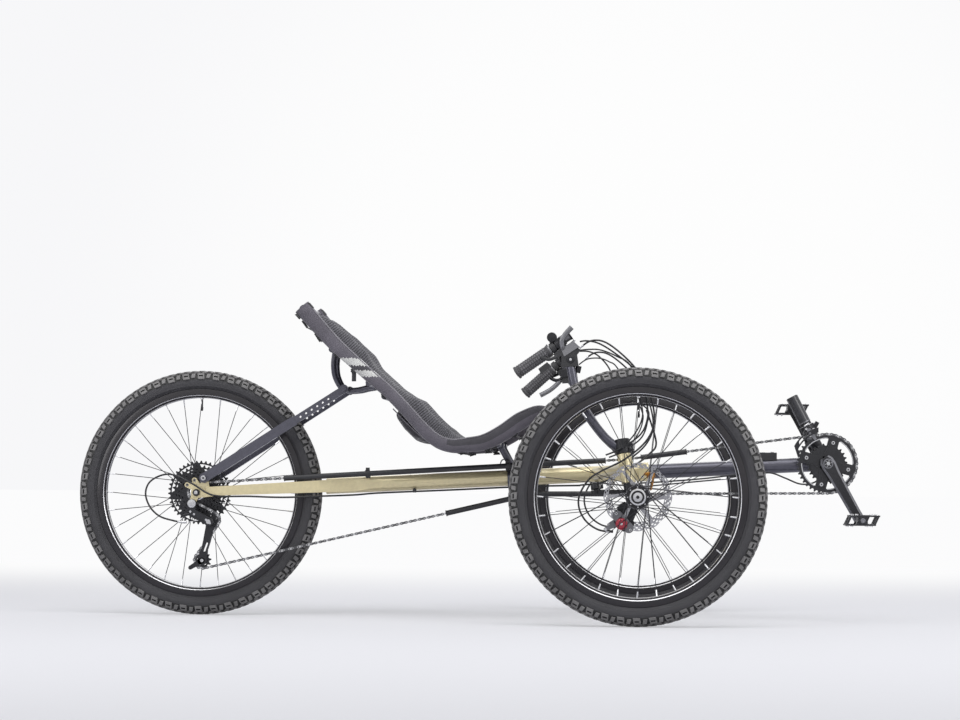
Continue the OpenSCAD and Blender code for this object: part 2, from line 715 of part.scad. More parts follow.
module crank_arm(end, y, out) {
    v = end - [bb_x, bb_z];
    n = unit([-v[1], v[0]]);
    difference() {
        union() {
            plate(min(y, y + out), max(y, y + out)) {
                translate([bb_x, bb_z]) circle(r = 20);
                translate(end) circle(r = 15);
                polygon([[bb_x, bb_z] + 19 * n, [bb_x, bb_z] - 19 * n, end - 14.5 * n, end + 14.5 * n]);
            }
        }
        y_cyl(end[0], end[1], -200, 200, 14 + 2 * fit);
    }
}

crank_y = 78;                                  // inner face of a crank arm
crank_t = 15;
module crank_arms() {
    color([0.08, 0.08, 0.09]) {
        crank_arm(right_crank_end, -crank_y - crank_t, crank_t);
        crank_arm(left_crank_end, crank_y, crank_t);
        y_cyl(bb_x, bb_z, -crank_y, crank_y, spindle_d);
        y_cyl(bb_x, bb_z, -crank_y, -chain_y + 8.2, spindle_d + 10);
        y_cyl(bb_x, bb_z, shell_w / 2 + 3, crank_y, spindle_d + 16);
    }
}

pedal_w = 92;
pedal_h = 28;
module pedal(end, side) {
    y1 = crank_y + crank_t + 8;
    slant = 13;
    color([0.08, 0.08, 0.09]) on_side(side) translate([end[0], 0, end[1]]) {
        plate(y1, y1 + pedal_w) difference() {
            polygon([[-pedal_len / 2, -pedal_h / 2], [pedal_len / 2 - slant, -pedal_h / 2],
                [pedal_len / 2, pedal_h / 2], [-pedal_len / 2 + slant, pedal_h / 2]]);
            for (s = [-1, 1]) translate([s * 28, 0])
                polygon([[-12 - 3, -10], [12 - 6, -10], [12 + 3, 10], [-12 + 6, 10]]);
        }
        y_cyl(0, 0, crank_y + 1, y1 + pedal_w + 3, 14);
    }
}

// Steering ------------------------------------------------------------------

arm_end = [head_x + (head_z - tie_z) * tan(caster) - arm_len, head_y + (head_z - tie_z) * tan(kpi)];
ball_d = 13;
tie_bore = 15;
ball = [arm_end[0], arm_end[1], tie_z];        // left ball joint
swing_up = unit(pin_up + [0.05, 0, 0]);        // the tie rod turns about this at the left ball
caliper_a = 240;                               // place of the caliper round the brake disc
caliper_c = [wheelbase + 76 * cos(caliper_a), tyre_r + 76 * sin(caliper_a)];
disc_y = half_track - disc_in;
tab_y = disc_y - 22;                           // inner face of the caliper tab
tab_t = 6;

function on_pin(s) = head_p + pin_up * s;
pin_foot = on_pin(-head_len / 2 - 1.5);
function pin_y(z) = head_y - (z - head_z) * tan(kpi);

module knuckle(side) {
    color([0.12, 0.12, 0.13]) on_side(side) {
        rod(on_pin(-head_len / 2 - 8), on_pin(head_len / 2 + 2 + clamp_h), kingpin_d);
        rod(pin_foot - pin_up * 36, pin_foot, kingpin_d + 4);
        translate([wheelbase - 30, pin_y(tyre_r) - 12, tyre_r - 17]) cube([44, hub_foot - pin_y(tyre_r) + 12, 34]);
        y_cyl(wheelbase, tyre_r, pin_y(tyre_r), half_track + hub_out - 8, stub_d);
        translate([arm_end[0], arm_end[1] - 7, tie_z - 18]) cube([arm_len - 6, 14, 9]);
        up_cyl(arm_end, tie_z - 18, tie_z - 9, 22);
        up_cyl(arm_end, tie_z - 10, tie_z, 7);
        translate(ball) sphere(d = ball_d);
        plate(tab_y, tab_y + tab_t)
            polygon([[wheelbase - 26, tyre_r - 10], [wheelbase + 8, tyre_r - 16], caliper_c + [22, -8],
                caliper_c + [-14, 22]]);
    }
}
// Upright pin at a plan position
module up_cyl(p, z1, z2, d) { translate([p[0], p[1], z1]) cylinder(h = z2 - z1, d = d); }

module tie_rod() {
    color([0.15, 0.15, 0.16]) difference() {
        union() {
            rod([arm_end[0], -arm_end[1] + 8, tie_z], [arm_end[0], arm_end[1] - 8, tie_z], tie_d);
            for (s = [-1, 1]) on_side(s) rod(ball - 6 * swing_up, ball + 6 * swing_up, tie_bore + 8);
        }
        for (s = [-1, 1]) on_side(s) rod(ball - 20 * swing_up, ball + 20 * swing_up, tie_bore);
    }
}

clamp_h = 38;
clamp_d = 42;
clamp_mid = on_pin(head_len / 2 + 2 + clamp_h / 2);
bar_tube_d = 22.2;
// Where the tubular part of each handlebar is, seen from the side: x and z of its top end, slope
bar_place = [[1002, 741, 34.7], [986, 722, 42]];
function place(side) = bar_place[side < 0 ? 0 : 1];
function on_bar(side, s) = let (b = place(side)) [b[0] + s * cos(b[2]), grip_y, b[1] + s * sin(b[2])];

// Turned so that Z runs up the bar from a place on it
module at_bar(side, s) {
    translate(on_bar(side, s)) rotate([0, 90 - place(side)[2], 0]) children();
}
module bar_ring(side, s, length, d) { at_bar(side, s) cylinder(h = length, d = d); }
module bar_bore(side) { bar_ring(side, -150, 200, bar_tube_d); }

module handlebar(side) {
    b = place(side);
    line = [[clamp_mid[0] - 8, clamp_mid[1], clamp_mid[2] - 4], [1126, 315, 488], [1090, 315, 531],
        [1062, 313, 575], [1040, 308, 630], [b[0] + 24, 304, b[1] - 50], [b[0] + 4, grip_y, b[1] - 6]];
    color([0.12, 0.12, 0.14]) on_side(side) {
        difference() {
            union() {
                rod(on_pin(head_len / 2 + 2), on_pin(head_len / 2 + 2 + clamp_h), clamp_d);
                swept(smooth(line, 4), bar_d, 14);
            }
            rod(head_p, on_pin(head_len / 2 + 30 + clamp_h), kingpin_d);
        }
        bar_ring(side, -136, 150, bar_tube_d);
        y_cyl(b[0], b[1], grip_y - 14, grip_y + 14, 30);
    }
}

grip_len = 108;
module grip(side) {
    color([0.22, 0.22, 0.22]) on_side(side) difference() {
        union() {
            bar_ring(side, -140, grip_len, grip_d);
            for (s = [-142, -142 + grip_len - 4]) bar_ring(side, s, 6, grip_d + 3);
        }
        bar_bore(side);
    }
}

// Brake lever with its band, and the shifter beside it
module controls(side) {
    color([0.15, 0.15, 0.16]) on_side(side) {
        difference() {
            union() {
                bar_ring(side, -29, 12, 33);
                at_bar(side, -29) translate([0, -9, 0]) cube([30, 18, 14]);
                bar_ring(side, -16, 12, 33);
                at_bar(side, -18) translate([-26, -24, 0]) cube([20, 34, 16]);
            }
            bar_bore(side);
        }
        at_bar(side, -34) translate([22, -7, 0]) cube([18, 14, 44]);
        at_bar(side, -112) translate([31, -5, 0]) cube([7, 10, 84]);
        at_bar(side, -16) translate([-36, -14, 0]) cube([16, 12, 30]);
        at_bar(side, -16) translate([-20, 4, 8]) rotate([0, 20, 0]) cylinder(h = 30, d = 20);
    }
}

module brake_caliper(side) {
    y_back = tab_y + tab_t;
    y_out = disc_y + 14;
    color([0.14, 0.14, 0.15]) on_side(side) difference() {
        union() {
            translate([caliper_c[0], 0, caliper_c[1]]) rotate([0, 90 - caliper_a, 0])
                translate([-28, y_back, -24]) cube([56, y_out - y_back, 46]);
            y_cyl(caliper_c[0] - 8, caliper_c[1] - 22, tab_y - 14, y_back + 1, 32);
        }
        translate([wheelbase, disc_y - disc_t / 2 - 2, tyre_r]) rotate([-90, 0, 0])
            cylinder(h = disc_t + 4, r = disc_r + 3);
        y_cyl(wheelbase, tyre_r, y_back - 1, y_out + 1, 2 * (disc_r - 34));
    }
}

brake_cable_line = [[1052, 310, 728], [1086, 312, 748], [1130, 322, 738], [1196, 334, 680],
    [1236, 340, 612], [1251, 342, 539], [1230, 343, 484], [1175, 344, 436], [1115, 344, 405],
    [1080, 343, 381], [1056, 342, 340], [1056, 341, 304], [1074, 340, 272], [1104, 336, 251],
    [1138, 333, 244]];
module brake_cable(side) {
    color([0.05, 0.05, 0.05]) on_side(side) swept(smooth(brake_cable_line, 3), cable_d, 8);
}

// Pieces ---------------------------------------------------------------------

tyre_grey = [0.12, 0.12, 0.12];
part_black = [0.1, 0.1, 0.11];

module placed() { translate([-x_shift, 0, 0]) children(); }
module on_rear_axle(shade) { placed() translate([0, 0, tyre_r]) color(shade) children(); }
module on_front_axle(side, shade) {
    placed() on_side(side) translate([wheelbase, half_track, tyre_r]) color(shade) children();
}

placed() main_tube();
placed() rear_stay(1);  // left_chainstay
placed() rear_stay(-1);  // right_chainstay
placed() cross_tube(1);  // left_cross_tube
placed() cross_tube(-1);  // right_cross_tube
placed() boom();
placed() boom_bracket();
placed() derailleur_post();
placed() front_derailleur();
placed() seat_frame();
placed() seat_mat();
placed() seat_pocket();
placed() seat_stay(1);  // left_seat_stay
placed() seat_stay(-1);  // right_seat_stay
placed() seat_rear_bracket();
placed() seat_front_bracket();
placed() chain();
placed() upper_chain_tube();
placed() front_chain_tube();
placed() lower_chain_tube();
placed() chain_idler();
placed() rear_derailleur();
placed() shift_cable();
on_rear_axle(part_black) rear_axle();
on_rear_axle(tyre_grey) tyre();  // rear_tyre
on_rear_axle(part_black) rim(rear_flange[0], rear_flange[1]);  // rear_rim
on_rear_axle(part_black) rear_hub();
on_rear_axle(part_black) cassette();
on_front_axle(1, tyre_grey) tyre();  // left_tyre
on_front_axle(1, part_black) rim(-flange_gap, flange_gap);  // left_rim
on_front_axle(1, part_black) front_hub();  // left_hub
on_front_axle(1, [0.6, 0.6, 0.62]) brake_disc();  // left_brake_disc
on_front_axle(-1, tyre_grey) tyre();  // right_tyre
on_front_axle(-1, part_black) rim(-flange_gap, flange_gap);  // right_rim
on_front_axle(-1, part_black) front_hub();  // right_hub
on_front_axle(-1, [0.6, 0.6, 0.62]) brake_disc();  // right_brake_disc
placed() knuckle(1);  // left_knuckle
placed() handlebar(1);  // left_handlebar
placed() grip(1);  // left_grip
placed() controls(1);  // left_controls
placed() brake_caliper(1);  // left_brake_caliper
placed() brake_cable(1);  // left_brake_cable
placed() knuckle(-1);  // right_knuckle
placed() handlebar(-1);  // right_handlebar
placed() grip(-1);  // right_grip
placed() controls(-1);  // right_controls
placed() brake_caliper(-1);  // right_brake_caliper
placed() brake_cable(-1);  // right_brake_cable
placed() tie_rod();
placed() chainrings();
placed() crank_arms();
placed() pedal(left_crank_end, 1);  // left_pedal
placed() pedal(right_crank_end, -1);  // right_pedal
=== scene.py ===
# %% [markdown]
# A recumbent tadpole trike, dressed for a studio picture.
#
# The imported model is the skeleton: tubes, axles, hubs and joints at their true sizes. This lesson
# leaves those where they are and gives each one its finish. What the skeleton holds only in outline,
# such as the knobbly tyres, the chain, the seat's mesh and the brake levers, is modelled here in
# detail, and each new piece rides on the body that carries it.

# %% Load the frame
import json
import math

import bmesh
import bpy
import numpy as np
from mathutils import Matrix, Vector
from mathutils.geometry import tessellate_polygon


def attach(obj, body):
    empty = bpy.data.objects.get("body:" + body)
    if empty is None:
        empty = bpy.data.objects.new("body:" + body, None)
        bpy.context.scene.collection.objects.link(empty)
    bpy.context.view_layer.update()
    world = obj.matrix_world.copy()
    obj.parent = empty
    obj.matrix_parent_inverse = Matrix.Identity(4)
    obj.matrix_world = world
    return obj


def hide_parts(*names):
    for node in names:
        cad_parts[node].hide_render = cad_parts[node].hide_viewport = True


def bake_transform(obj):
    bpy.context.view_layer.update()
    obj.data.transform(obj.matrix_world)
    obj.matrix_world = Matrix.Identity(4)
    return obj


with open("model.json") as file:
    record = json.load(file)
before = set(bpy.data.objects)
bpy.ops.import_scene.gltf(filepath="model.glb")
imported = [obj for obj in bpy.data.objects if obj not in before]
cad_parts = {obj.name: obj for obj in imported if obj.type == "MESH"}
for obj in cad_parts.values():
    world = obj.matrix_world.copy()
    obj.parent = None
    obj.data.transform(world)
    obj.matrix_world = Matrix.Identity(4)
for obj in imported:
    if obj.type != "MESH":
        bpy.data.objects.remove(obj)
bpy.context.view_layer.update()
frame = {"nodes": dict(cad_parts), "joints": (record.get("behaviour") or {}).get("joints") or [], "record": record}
nodes = frame["nodes"]
joints = {j["name"]: j for j in frame["joints"]}

# %% [markdown]
# The camera comes first. It stands level with the frame, seven metres off on the drive side, with a
# long lens, so that the three wheels stay nearly round. Lens shift moves the picture without
# turning the camera. Half of the framing is shift and half is a small turn, which keeps the wheels
# round and still lets other views take in the whole trike.

# %% Camera
CAMERA_DISTANCE = 7.0
rear_axle = Vector(joints["rear_wheel_spin"]["pos_m"])
camera_place = Vector((rear_axle.x + 1.218, -CAMERA_DISTANCE, 0.38))
lens = bpy.data.cameras.new("camera")
lens.lens = 95.25
lens.shift_x = -0.085
lens.shift_y = 0.0625
camera = bpy.data.objects.new("camera", lens)
camera.location = camera_place
turn = Matrix.Rotation(math.radians(1.81), 4, "Z")
tip = Matrix.Rotation(math.radians(90 + 1.35), 4, "X")
roll = Matrix.Rotation(math.radians(0.47), 4, "Z")
camera.rotation_euler = (turn @ tip @ roll).to_euler()
bpy.context.scene.collection.objects.link(camera)
bpy.context.scene.camera = camera
print("camera at", [round(v, 3) for v in camera_place])

# %% [markdown]
# A plain studio: a pale floor that runs off to the horizon, a bright world, and four soft lamps.
# Black parts are shaped only by what they reflect, so the lamps are wide panels. The backdrop's
# white is colour and not light: the world looks pale to the camera and lights the trike at a
# plain level.

# %% Floor, world and lamps
def new_material(name):
    """An empty node material with its output, ready for a shader."""
    material = bpy.data.materials.new(name)
    material.use_nodes = True
    material.node_tree.nodes.clear()
    return material, material.node_tree.nodes, material.node_tree.links


def floor_material():
    """Pale matt floor. Part of what the camera sees is its own paleness, so that it runs off into
    the backdrop far away, and part is lit, so that it keeps the trike's shadow."""
    material, n, link = new_material("pale_floor")
    out = n.new("ShaderNodeOutputMaterial")
    matt = n.new("ShaderNodeBsdfDiffuse")
    noise = n.new("ShaderNodeTexNoise")
    noise.inputs["Scale"].default_value = 3.0
    ramp = n.new("ShaderNodeValToRGB")
    ramp.color_ramp.elements[0].color = (0.66, 0.66, 0.70, 1)
    ramp.color_ramp.elements[1].color = (0.69, 0.69, 0.73, 1)
    link.new(noise.outputs["Fac"], ramp.inputs["Fac"])
    link.new(ramp.outputs["Color"], matt.inputs["Color"])
    place = n.new("ShaderNodeTexCoord")
    reach = n.new("ShaderNodeSeparateXYZ")
    link.new(place.outputs["Object"], reach.inputs["Vector"])
    fade = n.new("ShaderNodeMapRange")
    fade.inputs["From Min"].default_value = 0.3
    fade.inputs["From Max"].default_value = 4.2
    fade.inputs["To Min"].default_value = 0.34
    fade.inputs["To Max"].default_value = 1.0
    fade.interpolation_type = "SMOOTHERSTEP"
    link.new(reach.outputs["Y"], fade.inputs["Value"])
    pale = n.new("ShaderNodeEmission")
    pale.inputs["Color"].default_value = (0.97, 0.97, 0.975, 1)
    mix = n.new("ShaderNodeMixShader")
    ray = n.new("ShaderNodeLightPath")
    share = n.new("ShaderNodeMath")
    share.operation = "MULTIPLY"
    link.new(ray.outputs["Is Camera Ray"], share.inputs[0])
    link.new(fade.outputs["Result"], share.inputs[1])
    link.new(share.outputs["Value"], mix.inputs["Fac"])
    link.new(matt.outputs["BSDF"], mix.inputs[1])
    link.new(pale.outputs["Emission"], mix.inputs[2])
    link.new(mix.outputs["Shader"], out.inputs["Surface"])
    return material


floor_mesh = bpy.data.meshes.new("floor")
span = 60.0
floor_mesh.from_pydata([(-span, -span, 0), (span, -span, 0), (span, span, 0), (-span, span, 0)], [],
                       [(0, 1, 2, 3)])
floor = bpy.data.objects.new("floor", floor_mesh)
floor.data.materials.append(floor_material())
bpy.context.scene.collection.objects.link(floor)

world = bpy.data.worlds.new("studio")
bpy.context.scene.world = world
world.use_nodes = True
wn, wl = world.node_tree.nodes, world.node_tree.links
wn.clear()
seen = wn.new("ShaderNodeBackground")
direction = wn.new("ShaderNodeTexCoord")
towards = wn.new("ShaderNodeVectorMath")
towards.operation = "DOT_PRODUCT"
towards.inputs[1].default_value = Vector((0.0, 1.0, 0.06)).normalized()
glow = wn.new("ShaderNodeValToRGB")
glow.color_ramp.interpolation = "EASE"
glow.color_ramp.elements[0].position = 0.972
glow.color_ramp.elements[0].color = (0.93, 0.93, 0.945, 1)
glow.color_ramp.elements[1].position = 0.9985
glow.color_ramp.elements[1].color = (0.985, 0.985, 0.985, 1)
wl.new(direction.outputs["Generated"], towards.inputs[0])
wl.new(towards.outputs["Value"], glow.inputs["Fac"])
wl.new(glow.outputs["Color"], seen.inputs["Color"])
lit = wn.new("ShaderNodeBackground")
lit.inputs["Color"].default_value = (0.93, 0.95, 1.0, 1)
lit.inputs["Strength"].default_value = 0.5
ray = wn.new("ShaderNodeLightPath")
either = wn.new("ShaderNodeMath")
either.operation = "MAXIMUM"
seen_or = wn.new("ShaderNodeMath")
seen_or.operation = "MAXIMUM"
wl.new(ray.outputs["Is Camera Ray"], either.inputs[0])
wl.new(ray.outputs["Is Transmission Ray"], either.inputs[1])
wl.new(either.outputs["Value"], seen_or.inputs[0])
wl.new(ray.outputs["Is Glossy Ray"], seen_or.inputs[1])
pick = wn.new("ShaderNodeMixShader")
wl.new(seen_or.outputs["Value"], pick.inputs["Fac"])
wl.new(lit.outputs["Background"], pick.inputs[1])
wl.new(seen.outputs["Background"], pick.inputs[2])
world_out = wn.new("ShaderNodeOutputWorld")
wl.new(pick.outputs["Shader"], world_out.inputs["Surface"])


def area_lamp(name, place, target, size, power):
    """A wide soft lamp that faces target."""
    data = bpy.data.lights.new(name, "AREA")
    data.shape = "RECTANGLE"
    data.size, data.size_y = size
    data.energy = power
    lamp = bpy.data.objects.new(name, data)
    lamp.location = place
    lamp.rotation_euler = (Vector(target) - Vector(place)).to_track_quat("-Z", "Y").to_euler()
    bpy.context.scene.collection.objects.link(lamp)
    return lamp


area_lamp("key_above", (0.2, -1.4, 3.4), (0, 0, 0.3), (4.5, 2.4), 78)
area_lamp("side_left", (-3.2, -2.6, 1.5), (0, 0, 0.4), (1.6, 2.2), 34)
area_lamp("side_right", (3.4, -2.4, 1.7), (0.2, 0, 0.4), (1.4, 2.2), 34)
area_lamp("behind", (0.3, 3.2, 2.4), (0, 0, 0.3), (4.0, 1.6), 36)
bpy.context.scene.view_settings.view_transform = "Standard"
print("studio ready")

# %% [markdown]
# Every finish is built from nodes. A real surface is never one flat colour: paint has flakes and
# dust, rubber has bloom, cast parts have mottling. One helper gives the common pattern, which is a
# base colour that wanders a little on two noise scales, a roughness that wanders with it, and a
# fine bump. Each finish then sets its own numbers, and a few get extra nodes.

# %% A helper for finishes
def value_socket(shader, name, value):
    """Set a plain value on the shader's own socket."""
    shader.inputs[name].default_value = value


def finish(name, colour, rough=0.45, metal=0.0, vary=0.12, grain=60.0, bump=0.06, rough_vary=0.1,
           coat=0.0, sheen=0.0, bump_scale=None):
    """A Principled finish with wandering colour and roughness, and a fine bump."""
    material, n, link = new_material(name)
    out = n.new("ShaderNodeOutputMaterial")
    bsdf = n.new("ShaderNodeBsdfPrincipled")
    link.new(bsdf.outputs["BSDF"], out.inputs["Surface"])
    place = n.new("ShaderNodeTexCoord")
    broad = n.new("ShaderNodeTexNoise")
    broad.inputs["Scale"].default_value = grain * 0.12
    broad.inputs["Detail"].default_value = 4.0
    fine = n.new("ShaderNodeTexNoise")
    fine.inputs["Scale"].default_value = bump_scale or grain * 8.0
    fine.inputs["Detail"].default_value = 3.0
    link.new(place.outputs["Object"], broad.inputs["Vector"])
    link.new(place.outputs["Object"], fine.inputs["Vector"])
    ramp = n.new("ShaderNodeValToRGB")
    ramp.name = "colour"
    low = [c * (1 - vary) for c in colour]
    high = [min(1.0, c * (1 + vary)) for c in colour]
    ramp.color_ramp.elements[0].position = 0.3
    ramp.color_ramp.elements[1].position = 0.7
    ramp.color_ramp.elements[0].color = (*low, 1)
    ramp.color_ramp.elements[1].color = (*high, 1)
    link.new(broad.outputs["Fac"], ramp.inputs["Fac"])
    link.new(ramp.outputs["Color"], bsdf.inputs["Base Color"])
    worn = n.new("ShaderNodeMapRange")
    worn.inputs["To Min"].default_value = max(0.02, rough - rough_vary)
    worn.inputs["To Max"].default_value = min(1.0, rough + rough_vary)
    link.new(fine.outputs["Fac"], worn.inputs["Value"])
    link.new(worn.outputs["Result"], bsdf.inputs["Roughness"])
    dent = n.new("ShaderNodeBump")
    dent.inputs["Strength"].default_value = bump
    dent.inputs["Distance"].default_value = 0.001
    link.new(fine.outputs["Fac"], dent.inputs["Height"])
    link.new(dent.outputs["Normal"], bsdf.inputs["Normal"])
    value_socket(bsdf, "Metallic", metal)
    value_socket(bsdf, "Coat Weight", coat)
    value_socket(bsdf, "Coat Roughness", 0.12)
    if sheen:
        value_socket(bsdf, "Sheen Weight", sheen)
        value_socket(bsdf, "Sheen Roughness", 0.5)
    return material


gold_paint = finish("pale_gold_paint", (0.74, 0.645, 0.39), rough=0.33, metal=0.42, vary=0.05, grain=900,
                    bump=0.03, coat=0.5)
grey_paint = finish("anthracite_paint", (0.085, 0.084, 0.108), rough=0.30, metal=0.6, vary=0.08, grain=700,
                    bump=0.03, coat=0.5)
black_satin = finish("black_satin_metal", (0.022, 0.022, 0.025), rough=0.38, metal=0.35, vary=0.2, bump=0.05)
black_moulded = finish("black_moulded_plastic", (0.024, 0.024, 0.026), rough=0.5, vary=0.2, bump=0.12)
bright_steel = finish("bright_steel", (0.62, 0.62, 0.63), rough=0.25, metal=1.0, vary=0.06, bump=0.03)
dull_steel = finish("dull_steel", (0.30, 0.30, 0.31), rough=0.42, metal=1.0, vary=0.15, bump=0.05)
print("base finishes made")

# %% First dress of the skeleton
slot_finish = {"frame_paint": gold_paint, "grey_paint": grey_paint, "black_metal": black_satin,
               "spoke_black": black_satin, "steel": bright_steel, "chain_steel": dull_steel,
               "tyre": black_moulded, "grip": black_moulded, "mesh": black_moulded,
               "black_plastic": black_moulded}
slot_of = {part["node"]: part["material_slot"] for part in frame["record"]["subparts"]}
for node, obj in nodes.items():
    obj.data.materials.clear()
    obj.data.materials.append(slot_finish[slot_of[node]])
print(len(nodes), "nodes dressed")

# %% [markdown]
# Most of the fine parts are turned, drilled or cut from plate on the real trike, so three moves make
# nearly all of them: turning a profile round an axle, laying a tube along points, and cutting a
# plate with holes. A small class gathers such parts in one mesh, each with its own finish, and
# then hands the mesh over as one piece that rides on a body. Lengths are in millimetres measured
# from the rear axle's foot on the floor, as on the drawing of the frame.

# %% Places, and a mesh that grows part by part
MM = 0.001
AXLE_X = rear_axle.x


def at(x, y, z):
    """A place given in millimetres from the rear axle, the middle line and the floor."""
    return Vector((AXLE_X + x * MM, y * MM, z * MM))


def joint_place(name):
    """Where a joint sits, in millimetres on the same axes as at()."""
    x, y, z = joints[name]["pos_m"]
    return Vector(((x - AXLE_X) / MM, y / MM, z / MM))


def polar(centre, radius, degrees):
    """A point on a circle in the side view, as (x, z)."""
    a = math.radians(degrees)
    return (centre[0] + radius * math.cos(a), centre[1] + radius * math.sin(a))


def circle(centre, radius, steps=24, start=0.0):
    """Points round a circle in the side view."""
    return [polar(centre, radius, start + 360 * i / steps) for i in range(steps)]


def strap(a, b, ra, rb, steps=10):
    """Outline of a strap with round ends: a circle of ra at a, and of rb at b."""
    heading = math.degrees(math.atan2(b[1] - a[1], b[0] - a[0]))
    first = [polar(a, ra, heading + 90 + 180 * i / steps) for i in range(steps + 1)]
    second = [polar(b, rb, heading - 90 + 180 * i / steps) for i in range(steps + 1)]
    return first + second


def smooth_line(points, per=6):
    """A Catmull-Rom curve through a list of points."""
    p = [Vector(q) for q in points]
    line = []
    for i in range(len(p) - 1):
        a, b, c, d = p[max(i - 1, 0)], p[i], p[i + 1], p[min(i + 2, len(p) - 1)]
        for k in range(per):
            t = k / per
            line.append(0.5 * (2 * b + (c - a) * t + (2 * a - 5 * b + 4 * c - d) * t * t
                               + (3 * b - a - 3 * c + d) * t ** 3))
    line.append(p[-1])
    return line


BOX_FACES = [(0, 1, 2, 3), (7, 6, 5, 4), (0, 4, 5, 1), (1, 5, 6, 2), (2, 6, 7, 3), (3, 7, 4, 0)]


def skin_faces(rows, around):
    """Faces of a closed skin laid over rows of points, with as many points around in each row."""
    return [(i * around + k, i * around + (k + 1) % around, (i + 1) * around + (k + 1) % around,
             (i + 1) * around + k) for i in range(rows - 1) for k in range(around)]


